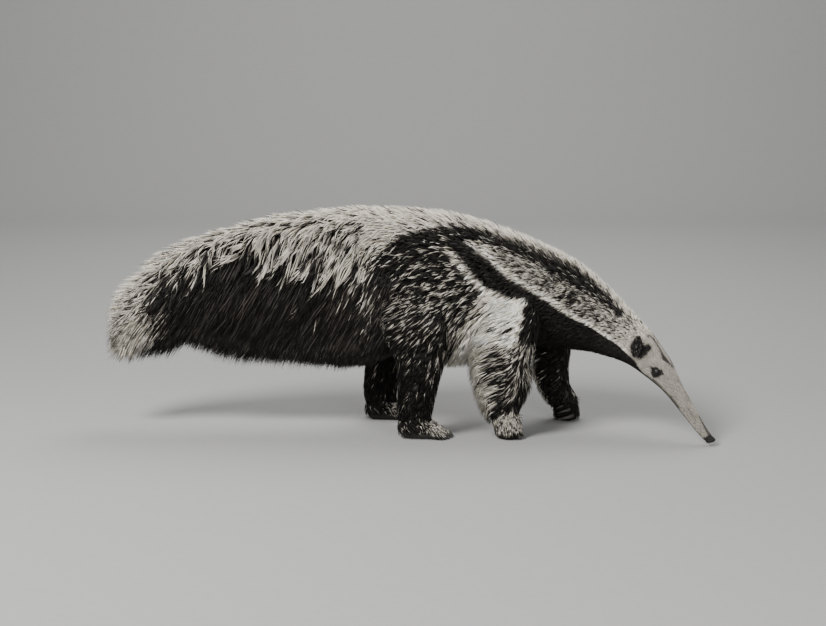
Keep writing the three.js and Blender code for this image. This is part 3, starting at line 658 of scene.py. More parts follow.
def tip_relief(points):
    """Nostrils, the line of the mouth, lips and the groove of the nose, cut into the skin's end."""
    centre, ahead, side, up = body.frame(np.array(1.0))
    local = (points - centre) / MM
    f, b, u = local @ ahead, local @ side, local @ up
    inward = -unit(points - (centre + np.clip(f, -60, 3)[:, None] * MM * ahead))
    long, high = NOSTRIL["radii"]
    out_from = np.abs(b) - NOSTRIL["beside"]
    bend = u - NOSTRIL["above"] + 0.10 * out_from**2
    ring = (out_from / long) ** 2 + (bend / high) ** 2
    depth = np.where(f > 0, NOSTRIL["deep"] * (1 - smooth(0.35, 1.25, ring)), 0)
    depth -= np.where(f > 0, 0.55 * np.exp(-((ring - 1.9) ** 2) / 0.5), 0)
    from_line, start = u - MOUTH["low"], MOUTH["from"]
    slit = np.exp(-((from_line / MOUTH["half"]) ** 2)) * smooth(start, start + 6, f)
    depth += MOUTH["deep"] * slit
    lips = np.exp(-(((np.abs(from_line) - 2.6) / 1.3) ** 2)) * smooth(start - 4, start + 8, f)
    depth -= 0.8 * lips
    groove = np.exp(-((b / 0.8) ** 2)) * band(-4, 2.5, 1, u) * smooth(1, 4, f)
    depth += 0.8 * groove
    pad_edge = np.exp(-(((f + 1.5) / 1.2) ** 2)) * smooth(-6, -2, u)
    depth += 0.7 * pad_edge
    flare = smooth(-12, 3, f) * smooth(-5, 9, u)
    rise = NOSE_FLARE[0] * up + NOSE_FLARE[1] * ahead
    return points + inward * (depth * MM)[:, None] + rise * (flare * MM)[:, None]


def body_relief(t, from_top):
    """How far the skin stands above the sweep, in metres: the coat's depth where it is short, and the form of
    the head."""
    s = t * body.last
    relief = -1.2 * smooth(16.4, 17.4, s)
    temple = -2.6 * np.exp(-(((s - 17.55) / 0.28) ** 2) - ((from_top - 48) / 20) ** 2)
    cheek = 1.6 * np.exp(-(((s - 17.6) / 0.5) ** 2) - ((from_top - 118) / 22) ** 2)
    jaw = -1.1 * np.exp(-(((from_top - 137) / 9) ** 2)) * band(18.2, 21.4, 0.4, s)
    bridge = -0.8 * np.exp(-(((from_top - 52) / 16) ** 2)) * band(18.7, 20.9, 0.4, s)
    lip = 0.7 * np.exp(-(((from_top - 112) / 10) ** 2)) * band(19.4, 21.5, 0.4, s)
    fold = 0.35 * np.sin(s * 46 + 0.05 * from_top) * band(17.2, 17.7, 0.15, s) * band(95, 150, 12, from_top)
    return (relief + temple + cheek + jaw + bridge + lip + fold) * MM


SKIN_ABOVE_NECK = (15.2, 17.2)
CAP_RINGS = 24
CAP_ON_UNWRAP = 0.012
LEG_RINGS = 56


def body_skin(loft):
    half = body_angles()
    around = np.concatenate([half[:-1], -half[:0:-1]])[::-1]
    angles, from_top = np.radians(90 - around), np.abs(around)
    shares = body_shares()
    t, a = np.meshgrid(shares, angles, indexing="ij")
    points = body.point(t, a, smooth(*SKIN_ABOVE_NECK, t * body.last))
    points += body.outward(t, a) * body_relief(t, from_top)[..., None]
    # The snout's end is a rounded cap.
    centre, ahead, _, _ = body.frame(np.array(1.0))
    rim = points[-1] - centre
    rounds = np.radians(np.linspace(0, 90, CAP_RINGS)[1:-1])
    cap = [centre + rim * math.cos(r) ** 0.8 + ahead * NOSE_LONG * MM * math.sin(r) for r in rounds]
    points = np.concatenate([points, cap])
    rings, count = points.shape[:2]
    flat = points.reshape(-1, 3)
    for side in SIDES.values():
        flat = lids_and_eye(flat, side)
    flat = np.vstack([tip_relief(flat), body.frame(np.array(0.0))[0], centre + ahead * NOSE_LONG * MM])
    thing = mesh_object("skin", flat, loft_faces(rings, count, True))
    mesh = thing.data
    ring_t = np.concatenate([shares, np.ones(len(cap))])
    cap_way = np.concatenate([np.zeros(len(shares)), np.linspace(0, 1, len(cap) + 1)[1:]])
    full_t, extra = (np.concatenate([np.repeat(row, count), [0, 1]]) for row in (ring_t, cap_way))
    full_a = np.concatenate([np.tile(angles, rings), [0, 0]])
    full_top = np.concatenate([np.tile(from_top, rings), [90, 90]])
    index = corner_points(mesh)
    finish_loft(mesh, loft, index, full_t, full_a, extra * CAP_ON_UNWRAP)
    full_s = full_t * body.last
    pale, fleck = body_markings(full_s, full_top)
    set_colours(mesh, head_colour(full_s, full_top, skin_colour(pale, fleck))[index])
    return thing


def finish_loft(mesh, loft, index, t, a, extra=0):
    """Both maps of a loft: its unwrap for baking, and the lie of its hair in metres."""
    turn = np.mod(a + np.pi / 2, 2 * np.pi) / (2 * np.pi)
    corner_turn = turn[index].copy()
    totals = read(mesh.polygons, "loop_total")
    face = np.repeat(np.arange(len(totals)), totals)
    greatest = np.zeros(len(totals))
    np.maximum.at(greatest, face, corner_turn)
    corner_turn[(corner_turn < 0.2) & (greatest[face] > 0.8)] += 1
    along = loft.along(t)[index] * 0.985 + np.broadcast_to(extra, t.shape)[index]
    set_corner_uv(mesh, "OFBake", chart_uv(loft.chart, along, corner_turn))
    wide = spline(loft.sweep.flesh, t).mean(axis=1)[index] * 2 * np.pi
    set_corner_uv(mesh, "lie", np.stack([along * loft.length, corner_turn * wide], axis=-1))


def sunk_root(t):
    """How far a leg draws in at its root, as a share of its coat's depth."""
    return 1.6 * (1 - smooth(0, 0.14, t))


def leg_skin(name, loft):
    kind, side_name = name.split("_")
    sweep = loft.sweep
    angles = np.linspace(0, 2 * np.pi, LEG_RINGS, endpoint=False)
    t, a = np.meshgrid(np.linspace(0, 1, LEG_RINGS), angles, indexing="ij")
    height = 0.15 * (1 - t) + 0.6 * smooth(0.75, 1, t) - sunk_root(t)
    poles = [sweep.frame(np.array(end))[0] for end in (0.0, 1.0)]
    points = np.vstack([sweep.point(t, a, height).reshape(-1, 3), *poles])
    thing = mesh_object("skin_" + name, points, loft_faces(LEG_RINGS, LEG_RINGS, True))
    full_t = np.concatenate([t.ravel(), [0, 1]])
    full_a = np.concatenate([a.ravel(), [0, 0]])
    index = corner_points(thing.data)
    finish_loft(thing.data, loft, index, full_t, full_a)
    outer = np.cos(full_a) * SIDES[side_name]
    pale, fleck = leg_markings(kind, full_t * sweep.last, outer, np.sin(full_a))
    set_colours(thing.data, skin_colour(pale, fleck)[index])
    return thing


def ellipsoid_mesh(centre, radii, around=32, down=20):
    polar = np.linspace(0, np.pi, down + 1)[1:-1]
    turn = np.linspace(0, 2 * np.pi, around, endpoint=False)
    p, q = np.meshgrid(polar, turn, indexing="ij")
    ball = np.stack([np.sin(p) * np.cos(q), np.sin(p) * np.sin(q), -np.cos(p)], axis=-1).reshape(-1, 3)
    points = np.vstack([ball, (0, 0, -1), (0, 0, 1)]) * radii * MM + centre
    return points, loft_faces(down - 1, around, True)


def swept_mesh(sweep, rings=24, count=40):
    angles = np.linspace(0, 2 * np.pi, count, endpoint=False)
    t, a = np.meshgrid(np.linspace(0, 1, rings), angles, indexing="ij")
    return sweep.point(t, a, 0).reshape(-1, 3), loft_faces(rings, count)


def joined(parts):
    points, faces, start = [], [], 0
    for part_points, part_faces in parts:
        points.append(part_points)
        faces += [[i + start for i in face] for face in part_faces]
        start += len(part_points)
    return np.vstack(points), faces


def foot_parts(kind, end, side):
    """The palm and knuckles of a forefoot, or the sole and toes of a hind one, below a leg's last section."""
    x, y, _ = end
    if kind == "foreleg":
        rows, leans, radii = HAND_PALM, None, KNUCKLE
        lumps = [(forward, side * outward, high) for forward, outward, high in KNUCKLES]
    else:
        rows, leans, radii = FOOT_SECTIONS, [0] * len(FOOT_SECTIONS), TOE
        lumps = [(reach, beside, TOE_HIGH) for beside, reach in zip(TOES, TOE_REACH)]
    centres = [(x + forward, y, high) for forward, high, *_ in rows]
    parts = [swept_mesh(Sweep(centres, [row[2:] for row in rows], [(0, 0, 0)] * len(rows), leans))]
    for forward, across, high in lumps:
        centre = np.array([x + forward, y + across, high]) * MM + SHIFT
        parts.append(ellipsoid_mesh(centre, np.array(radii)))
    return parts


def applied(thing):
    """The object's mesh with its modifiers applied."""
    graph = bpy.context.evaluated_depsgraph_get()
    mesh = bpy.data.meshes.new_from_object(thing.evaluated_get(graph))
    thing.modifiers.clear()
    thing.data = mesh
    return mesh


FOOT_VOXEL = 0.0026
LOWEST_SKIN = 0.0004


def foot_skin(name):
    kind, side_name = name.split("_")
    end = LEGS[kind][side_name][-1][0]
    thing = mesh_object("skin_foot_" + name, *joined(foot_parts(kind, end, SIDES[side_name])))
    remesh = thing.modifiers.new("whole", "REMESH")
    remesh.mode = "VOXEL"
    remesh.voxel_size = FOOT_VOXEL
    soften = thing.modifiers.new("soften", "SMOOTH")
    soften.iterations = 5
    mesh = applied(thing)
    points = vertex_places(mesh)
    points[:, 2] = np.maximum(points[:, 2], LOWEST_SKIN)
    mesh.vertices.foreach_set("co", points.astype(np.float32).ravel())
    mesh.update()
    mesh.shade_smooth()
    bpy.context.view_layer.objects.active = thing
    thing.select_set(True)
    mesh.uv_layers.new(name="OFBake")
    bpy.ops.object.mode_set(mode="EDIT")
    bpy.ops.mesh.select_all(action="SELECT")
    bpy.ops.uv.smart_project(angle_limit=1.15, island_margin=0.004)
    bpy.ops.object.mode_set(mode="OBJECT")
    thing.select_set(False)
    mesh = thing.data
    set_corner_uv(mesh, "OFBake", chart_uv("foot_" + name, *baking_map(mesh).T))
    index = corner_points(mesh)
    places = vertex_places(mesh)
    set_corner_uv(mesh, "lie", np.stack([places[:, 0] + places[:, 2], places[:, 1]], axis=-1)[index])
    pale, fleck = foot_markings(kind, places, end)
    set_colours(mesh, skin_colour(pale, fleck)[index])
    return thing


def foot_markings(kind, places, end):
    """Pale hair on the outer side of the hand with a dark edge at its sole, and painted shade on its inner
    side, which is left dark. The hind foot is dark with pale tips."""
    high = places[:, 2] / MM
    forward, outward, _ = ((places - SHIFT) / MM - end).T * np.array([[1], [np.sign(end[1])], [1]])
    if kind == "foreleg":
        # The hand's inner side gets no pale hair: painted shade.
        outer = smooth(-22, 6, outward)
        return 0.44 * smooth(24, 35, high) * outer, 0.35 * smooth(20, 32, high) * outer
    top = smooth(12, 20, high) * smooth(10, 44, forward)
    return 0.34 * top, 0.10 + 0.30 * top


# Materials
def nodes_of(name):
    material = bpy.data.materials.new(name)
    material.use_nodes = True
    tree = material.node_tree
    tree.nodes.clear()
    output = tree.nodes.new("ShaderNodeOutputMaterial")
    shader = tree.nodes.new("ShaderNodeBsdfPrincipled")
    tree.links.new(shader.outputs[0], output.inputs["Surface"])
    return material, tree, shader


def add_node(tree, kind, inputs=None, **settings):
    node = tree.nodes.new(kind)
    for key, value in settings.items():
        setattr(node, key, value)
    for key, value in (inputs or {}).items():
        if isinstance(value, bpy.types.NodeSocket):
            tree.links.new(value, node.inputs[key])
        else:
            node.inputs[key].default_value = value
    return node


def stretched_noise(tree, scales, detail=3.0, layer="lie"):
    """Noise drawn out along the lie of the hair."""
    place = add_node(tree, "ShaderNodeUVMap", uv_map=layer)
    factors = {0: place.outputs[0], 1: (*scales, 1)}
    scaled = add_node(tree, "ShaderNodeVectorMath", factors, operation="MULTIPLY")
    inputs = {"Vector": scaled.outputs[0], "Scale": 1.0, "Detail": detail}
    return add_node(tree, "ShaderNodeTexNoise", inputs).outputs[0]


def solid_noise(tree, scale, detail):
    place = add_node(tree, "ShaderNodeTexCoord")
    inputs = {"Vector": place.outputs["Object"], "Scale": scale, "Detail": detail}
    return add_node(tree, "ShaderNodeTexNoise", inputs).outputs[0]


def varied(tree, colour, noise, low, high):
    """The colour made darker and lighter by the noise."""
    limits = {"From Min": 0.3, "From Max": 0.7, "To Min": low, "To Max": high}
    reach = add_node(tree, "ShaderNodeMapRange", {"Value": noise, **limits})
    inputs = {0: colour, "Scale": reach.outputs[0]}
    return add_node(tree, "ShaderNodeVectorMath", inputs, operation="SCALE").outputs[0]


def coat_colour(tree):
    return add_node(tree, "ShaderNodeVertexColor", layer_name="coat").outputs[0]


def dress(tree, shader, colour, height, relief, inputs):
    """Gives the shader its colour, other inputs, and a relief with a strength and a distance in metres."""
    tree.links.new(colour, shader.inputs["Base Color"])
    for key, value in inputs.items():
        shader.inputs[key].default_value = value
    strength, distance = relief
    bump = add_node(tree, "ShaderNodeBump", {"Height": height, "Strength": strength, "Distance": distance})
    tree.links.new(bump.outputs[0], shader.inputs["Normal"])


def skin_material():
    material, tree, shader = nodes_of("short_hair_on_skin")
    hairs = stretched_noise(tree, (130, 1500))
    colour = varied(tree, coat_colour(tree), hairs, 0.55, 1.35)
    colour = varied(tree, colour, stretched_noise(tree, (60, 240), 4.0), 0.7, 1.2)
    dress(tree, shader, colour, hairs, (0.55, 0.0012), {"Roughness": 0.72, "Specular IOR Level": 0.3})
    return material


def hair_material():
    """Strands run down each tuft, along the first way of its patch on the unwrap."""
    material, tree, shader = nodes_of("hair")
    strands = stretched_noise(tree, (260, 4200), 2.0, "OFBake")
    colour = varied(tree, coat_colour(tree), strands, 0.62, 1.28)
    colour = varied(tree, colour, solid_noise(tree, 45.0, 3.0), 0.82, 1.14)
    dress(tree, shader, colour, strands, (0.6, 0.0006), {"Roughness": 0.6, "Specular IOR Level": 0.14})
    return material


def simple_material(name, low, high, roughness, scale, depth=0.0003):
    """A colour that varies between two, with a fine relief to match."""
    material, tree, shader = nodes_of(name)
    noise = solid_noise(tree, scale, 5.0)
    ramp = add_node(tree, "ShaderNodeValToRGB", {0: noise})
    for element, position, colour in zip(ramp.color_ramp.elements, (0.35, 0.65), (low, high)):
        element.position = position
        element.color = (*colour, 1)
    dress(tree, shader, ramp.outputs[0], noise, (0.5, depth), {"Roughness": roughness})
    return material


def eye_material():
    material, tree, shader = nodes_of("wet_eye")
    colour = varied(tree, coat_colour(tree), solid_noise(tree, 1800.0, 3.0), 0.7, 1.3)
    tree.links.new(colour, shader.inputs["Base Color"])
    for key, value in (("Roughness", 0.07), ("Coat Weight", 1.0), ("Coat Roughness", 0.03)):
        shader.inputs[key].default_value = value
    return material


# Tufts
class Tufts(NamedTuple):
    """Many tufts: paths (tufts, points, 3), the ways outward from the skin at each point, breadths,
    thicknesses, colours at each point and the places of the roots on the skin's unwrap."""

    paths: np.ndarray
    outward: np.ndarray
    broad: np.ndarray
    thick: np.ndarray
    colours: np.ndarray
    uv: np.ndarray

    def chosen(self, keep):
        return Tufts(*(part[keep] for part in self))


class Style(NamedTuple):
    """How a coat is made: the breadth of a tuft, how many tufts a clump has, how far apart clumps are, how
    far they bend and how many points a tuft has."""

    broad: float
    many: int
    spacing: float
    curl: float
    steps: int


def merged(groups):
    return Tufts(*(np.concatenate(parts) for parts in zip(*groups)))


# For tufts of 3 or 4 points: the places of the points as shares of the length, and the breadth at each but
# the tip.
SHARES = {4: np.array([0, 0.38, 0.74, 1]), 3: np.array([0, 0.58, 1])}
TUFT_WIDTHS = {4: (0.62, 1.0, 0.72), 3: (0.8, 1.0)}
# A tuft's thickness as a share of its breadth, and the size of its patch on the unwrap.
THICKNESS = 0.34
PATCH = 0.003
MOST_TRIANGLES = 190000


def tuft_mesh(tufts):
    """Points, triangles, colours and unwrap of tufts with three sides and a tip."""
    count, steps = tufts.paths.shape[:2]
    rings = steps - 1
    along = unit(np.gradient(tufts.paths, axis=1))
    across = unit(np.cross(along, tufts.outward))
    rise = np.cross(across, along)
    widths = np.array(TUFT_WIDTHS[steps])
    half = (tufts.broad[:, None] * widths / 2)[..., None]
    tall = (tufts.thick[:, None] * widths)[..., None]
    ring = tufts.paths[:, :rings, None, :] + np.stack(
        [across[:, :rings] * half, -across[:, :rings] * half, rise[:, :rings] * tall], axis=2
    )
    points = np.concatenate([ring.reshape(count, rings * 3, 3), tufts.paths[:, -1:]], axis=1)
    own = rings * 3 + 1
    faces = [(0, 2, 1)]
    for r in range(rings - 1):
        for k in range(3):
            a, b = r * 3 + k, r * 3 + (k + 1) % 3
            faces += [(a, b, b + 3), (a, b + 3, a + 3)]
    for k in range(3):
        faces.append(((rings - 1) * 3 + k, (rings - 1) * 3 + (k + 1) % 3, rings * 3))
    faces = (np.arange(count)[:, None, None] * own + np.array(faces)).reshape(-1, 3)
    colours = np.concatenate([np.repeat(tufts.colours[:, :rings], 3, axis=1), tufts.colours[:, -1:]], axis=1)
    across_patch = np.tile([-0.5, 0.5, 0.0], rings).tolist() + [0.0]
    along_patch = np.repeat(np.arange(rings) / rings - 0.5, 3).tolist() + [0.5]
    patch = np.stack([along_patch, across_patch], axis=-1) * PATCH
    return points.reshape(-1, 3), faces, colours.reshape(-1, 3), (tufts.uv[:, None] + patch).reshape(-1, 2)


def coat_piece(name, tufts, material, slot):
    points, faces, colours, uv = tuft_mesh(tufts)
    mesh = bpy.data.meshes.new(name)
    mesh.vertices.add(len(points))
    mesh.vertices.foreach_set("co", points.astype(np.float32).ravel())
    mesh.loops.add(faces.size)
    mesh.loops.foreach_set("vertex_index", faces.astype(np.int32).ravel())
    mesh.polygons.add(len(faces))
    mesh.polygons.foreach_set("loop_start", np.arange(0, faces.size, 3, dtype=np.int32))
    mesh.update(calc_edges=True)
    mesh.shade_smooth()
    set_corner_uv(mesh, "OFBake", uv[faces.ravel()])
    set_colours(mesh, colours, "POINT")
    finished(placed(name, mesh), material, slot)


def coat_pieces(name, tufts, material, slot):
    """Adds a coat to the scene, in pieces with no more triangles than the limit."""
    count, steps = tufts.paths.shape[:2]
    pieces = math.ceil(count * (6 * steps - 8) / MOST_TRIANGLES)
    for number in range(pieces):
        keep = np.arange(count) % pieces == number
        coat_piece(f"{name}_{number + 1}" if pieces > 1 else name, tufts.chosen(keep), material, slot)


def finished(thing, material, slot, *nodes):
    thing.data.materials.clear()
    thing.data.materials.append(material)
    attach(thing, "root")
    if nodes:
        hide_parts(*nodes)


def rows_of_roots(sweep, sections, angles, spacing, chance):
    """Roots in even rows, moved a little by chance: shares of the way, and turns from the top or front."""
    way = np.linspace(*sections, 600) / sweep.last
    middle = np.radians(np.mean(angles))
    speed, _ = sweep.speeds(way, np.full(way.shape, np.pi / 2 - middle), 0.0)
    total = np.concatenate([[0], np.cumsum((speed / spacing)[1:] * np.diff(way))])
    rows = max(int(total[-1]), 1)
    shares = np.interp((np.arange(rows) + 0.5) / rows * total[-1], total, way)
    found = []
    fine = np.radians(np.linspace(*angles, 121))
    for t in shares:
        ring = sweep.point(t, np.pi / 2 - fine, 0.0)
        steps = np.concatenate([[0], np.cumsum(np.linalg.norm(np.diff(ring, axis=0), axis=1))])
        count = max(int(round(steps[-1] / spacing)), 1)
        places = (np.arange(count) + 0.5 + 0.8 * (chance.random(count) - 0.5)) / count * steps[-1]
        turn = np.interp(places, steps, fine)
        dt = spacing / speed.mean() * 0.8 * (chance.random(count) - 0.5)
        found.append(np.stack([t + dt, turn], axis=-1))
    return np.vstack(found).T


# For tufts of 3 or 4 points: how light the root is, what is added along the tuft, and between which shares.
# The darker root is partly the hair's own darker base and partly painted shade between the tufts.
ROOT_TONE_AND_SHADE = {3: (0.62, 0.38, (0, 0.5)), 4: (0.42, 0.58, (0.1, 0.7))}
BRIGHTEST = 0.9


def coloured(pale, fleck, clump_draw, own_draw, shares, chance, marks=None, dark_range=1.8):
    """Colours down each tuft. It is pale, or dark, or dark with a pale tip, by the shares given. Pale hair
    darkens toward its root, partly its own tone and partly painted shade between the tufts. Marks are
    the shares of black and of white at each of its points, where a marking has a sharp edge."""
    count = len(pale)
    draw = 0.5 * clump_draw + 0.5 * own_draw
    draw = np.clip(0.5 + (draw - 0.5) * 1.35, 0, 1)
    is_pale = (draw < pale).astype(float)
    tipped = (((draw - pale) / np.maximum(1 - pale, 1e-3)) < fleck).astype(float) * (1 - is_pale)
    # Pale hair is darker at the root: its own darker base, with painted shade between the tufts.
    root, gain, between_shares = ROOT_TONE_AND_SHADE[len(shares)]
    root_tone_and_shade = root + gain * smooth(*between_shares, shares)
    clean = 1 + 0.34 * smooth(0.85, 0.96, pale) + 0.28 * smooth(0.96, 0.975, pale)
    light = np.asarray(PALE) * clean[:, None, None] * (0.74 + 0.44 * chance.random((count, 1, 1)))
    light = light * root_tone_and_shade[None, :, None]
    warm = 1 + 0.06 * (chance.random((count, 1, 1)) - 0.5) * np.array([1, 0, -1.6])
    dark = np.asarray(DARK) * (0.4 + dark_range * chance.random((count, 1, 1)) ** 4)
    colours = np.where(is_pale[:, None, None] > 0, light, dark)
    tip = smooth(0.48, 0.57, shares)[None, :, None] * tipped[:, None, None]
    colours = colours * (1 - tip) + light * (0.62 + 0.4 * own_draw[:, None, None]) * tip
    if marks is not None:
        black, white = (mark[..., None] for mark in marks)
        colours = colours * (1 - white) + light * white
        colours = colours * (1 - black) + dark * black
    return np.clip(colours * warm, 0, BRIGHTEST)


def body_marks(s, from_top, jitter):
    """The shares of black and of white at a point of the body's hair, where a marking or the face's painted
    shade has a sharp edge.
    """
    stripe, lines = stripe_and_lines(s, from_top)
    face = face_darkness(s + 0.03 * jitter[0], from_top + 3 * jitter[1]) * smooth(16.6, 16.8, s)
    return np.maximum(stripe, face), lines


# Markings are read where a tuft shows, this far down it.
SEEN_AT = 0.62


def clump_paths(sweep, t, a, way, length, shares):
    """The course of each clump over the body, from its root, at the shares of its length."""
    course = [(t, a)]
    for step in np.diff(shares):
        for _ in range(2):
            t, a = sweep.flow(t, a, 0.7, way, length * step / 2)
        course.append((t, a))
    return (np.stack(places, axis=1) for places in zip(*course))


def clump_tufts(loft, t, turn, side, lie, style, chance, markings):
    """Tufts in clumps rooted at shares t and turns from the top on one side. lie gives, at each clump, the
    way the hair goes and its length in metres, how far its tips hang and the height of its roots."""
    sweep, shares = loft.sweep, SHARES[style.steps]
    count = len(t)
    way, length, hang, base = lie(t, turn, chance)
    way = unit(way + (0.13 + 14 * style.curl) * chance.normal(0, 1, (count, 3)))
    clump_t, clump_a = clump_paths(sweep, t, np.pi / 2 - side * turn, way, length, shares)
    clump_draw, ragged = chance.random(count), chance.normal(0, 1, count)
    pick = np.repeat(np.arange(count), style.many)
    total = len(pick)
    own = chance.random(total)
    long = (0.76 + 0.36 * chance.random(total))[:, None]
    u, v = chance.uniform(-0.62, 0.62, (2, total, 1)) * style.spacing
    gather = chance.uniform(0.05, 0.6, (total, 1))
    stray = 0.09 * chance.normal(0, 1, (total, 1)) * length[pick][:, None]
    bends = style.curl * chance.normal(0, 1, (count, 1))
    bends = bends * np.sin(2 * np.pi * shares + 6 * chance.random((count, 1)))
    ts, angles = (p[pick, :1] + (p[pick] - p[pick, :1]) * long for p in (clump_t, clump_a))
    speed_t, speed_a = sweep.speeds(ts, angles, 0.8)
    closing = 1 - (1 - gather) * shares
    ts = np.clip(ts + u * closing / speed_t, -0.05, 0.9995)
    angles = angles + (v * closing + stray * shares**1.3 + bends[pick]) / speed_a
    tip = 1 - 0.34 * chance.random((total, 1)) ** 1.5
    on_skin = smooth(*SKIN_ABOVE_NECK, ts * body.last) if sweep is body else 0.0
    rise = base[pick][:, None] * (1 - shares) + tip * shares**0.72
    paths = sweep.run(ts, angles, rise * (1 - on_skin) + on_skin)
    paths[..., 2] -= hang[pick][:, None] * shares**2
    outward = sweep.outward(np.maximum(ts, FIRST), angles)
    from_top = np.degrees(np.abs(np.pi / 2 - angles))
    if sweep is body:
        lift = body_relief(ts, from_top) + on_skin * (0.0019 * tip * shares**0.7 - 0.0003)
        paths += outward * lift[..., None]
    seen_t, seen_a = (where[:, 0] + (where[:, -1] - where[:, 0]) * SEEN_AT for where in (ts, angles))
    seen_top = side * np.degrees(np.pi / 2 - seen_a) + 2.2 * ragged[pick]
    pale, fleck = markings(seen_t * sweep.last + 0.02 * ragged[pick], seen_top, seen_a)
    jitter = chance.normal(0, 1, (2, total, 1))
    marks = body_marks(ts * sweep.last, from_top, jitter) if sweep is body else None
    colours = coloured(pale, fleck, clump_draw[pick], own, shares, chance, marks)
    breadth = style.broad * (0.75 + 0.5 * own)
    roots = loft.uv(np.maximum(ts[:, 0], 0), angles[:, 0])
    drawn = np.linalg.norm(np.diff(paths, axis=1), axis=2).sum(axis=1)
    fair = drawn < 1.7 * length[pick] + 2.0 * hang[pick] + 0.01
    return Tufts(paths, outward, breadth, breadth * THICKNESS, colours, roots).chosen(fair)


# How long the hair is on the body in millimetres, at the top, at the side and underneath, by section.
HAIR = [
    (0, 78, 66, 52),
    (1.5, 84, 72, 62),
    (3, 78, 74, 70),
    (8, 76, 74, 72),
    (9.6, 70, 58, 60),
    (11, 62, 44, 54),
    (12.5, 52, 36, 50),
    (13.6, 40, 26, 34),
    (15, 28, 15, 18),
    (16.4, 15, 9, 11),
    (17.2, 9, 8, 9),
    (22, 5, 4.5, 4.5),
]

# How steeply the hair of the tail and trunk falls, in degrees, by section.
FALL = [
    (0, 34), (1.5, 46), (4, 52), (8, 50), (9.5, 40), (11, 26), (13, 26), (14, 28), (15, 22), (16, 12),
]
DOWN = np.array([0, 0, -1])


def hair_length(s, turn):
    xs, *lengths = zip(*HAIR)
    top, beside, under = (np.interp(s, xs, row) for row in lengths)
    share = np.degrees(turn) / 90
    return np.where(share < 1, top + (beside - top) * share, beside + (under - beside) * (share - 1)) * MM


def trunk_lie(t, turn, _chance):
    s, degrees = t * body.last, np.degrees(turn)
    back = unit(body.frame(np.clip(t - 2e-3, 0, 1))[0] - body.frame(t + 2e-3)[0])
    back = unit(mixed(np.broadcast_to((-1, 0, 0), back.shape), back, smooth(9, 11, s)))
    fall = np.radians(between(FALL, s) + 20 * smooth(95, 140, degrees) * band(9.6, 13.2, 0.5, s))
    way = back * np.cos(fall)[:, None] + DOWN * np.sin(fall)[:, None]
    hang = 0.030 * smooth(96, 130, degrees) * band(10.6, 13.2, 0.4, s)
    base = -0.12 + 0.84 * smooth(80, 98, degrees) * (1 - smooth(9.2, 10, s))
    return way, hair_length(s, turn), hang, base


def on_body(s, from_top, _angle):
    return body_markings(s, np.abs(from_top))


def trunk_coat(loft, sections, angles, style, seed):
    """Hair over a part of the body, without tufts that are rooted inside a leg."""
    chance = np.random.default_rng(seed)
    groups = []
    for side in SIDES.values():
        t, turn = rows_of_roots(body, sections, angles, style.spacing, chance)
        groups.append(clump_tufts(loft, t, turn, side, trunk_lie, style, chance, on_body))
    tufts = merged(groups)
    keep = np.ones(len(tufts.paths), bool)
    for sweep in legs.values():
        keep &= ~sweep.holds(tufts.paths[:, 0], -0.8)
    return tufts.chosen(keep)


CURTAIN = {
    "gap": 0.0098,
    "many": 9,
    "slopes": (56, 67),
    "past_end": 0.035,
    "corner": 0.05,
    "pale_to": (-0.835, -0.785),
    "broad": 0.0040,
    "seed": 11,
    "shares": np.array([0, 0.42, 0.86, 1]),
}
# The curtain's lower edge, as a share of the depth below the tail's middle.
CURTAIN_EDGE = 1.02


def to_lower_edge(level, way):
    """How far it is, from places in the middle plane and along ways in it, to the curtain's lower edge, and
    the section there."""
    tries = np.linspace(0, 0.46, 16)
    near, depth, _ = body.beside(level[:, None] + way[:, None] * tries[:, None])
    below = depth > CURTAIN_EDGE
    past = np.where(below.any(axis=1), below.argmax(axis=1), len(tries) - 1)
    here = np.arange(len(level)), np.maximum(past - 1, 0)
    share = (CURTAIN_EDGE - depth[here]) / np.maximum(depth[here[0], past] - depth[here], 0.01)
    return tries[here[1]] + tries[1] * np.clip(share, 0, 1), near[here] * body.last


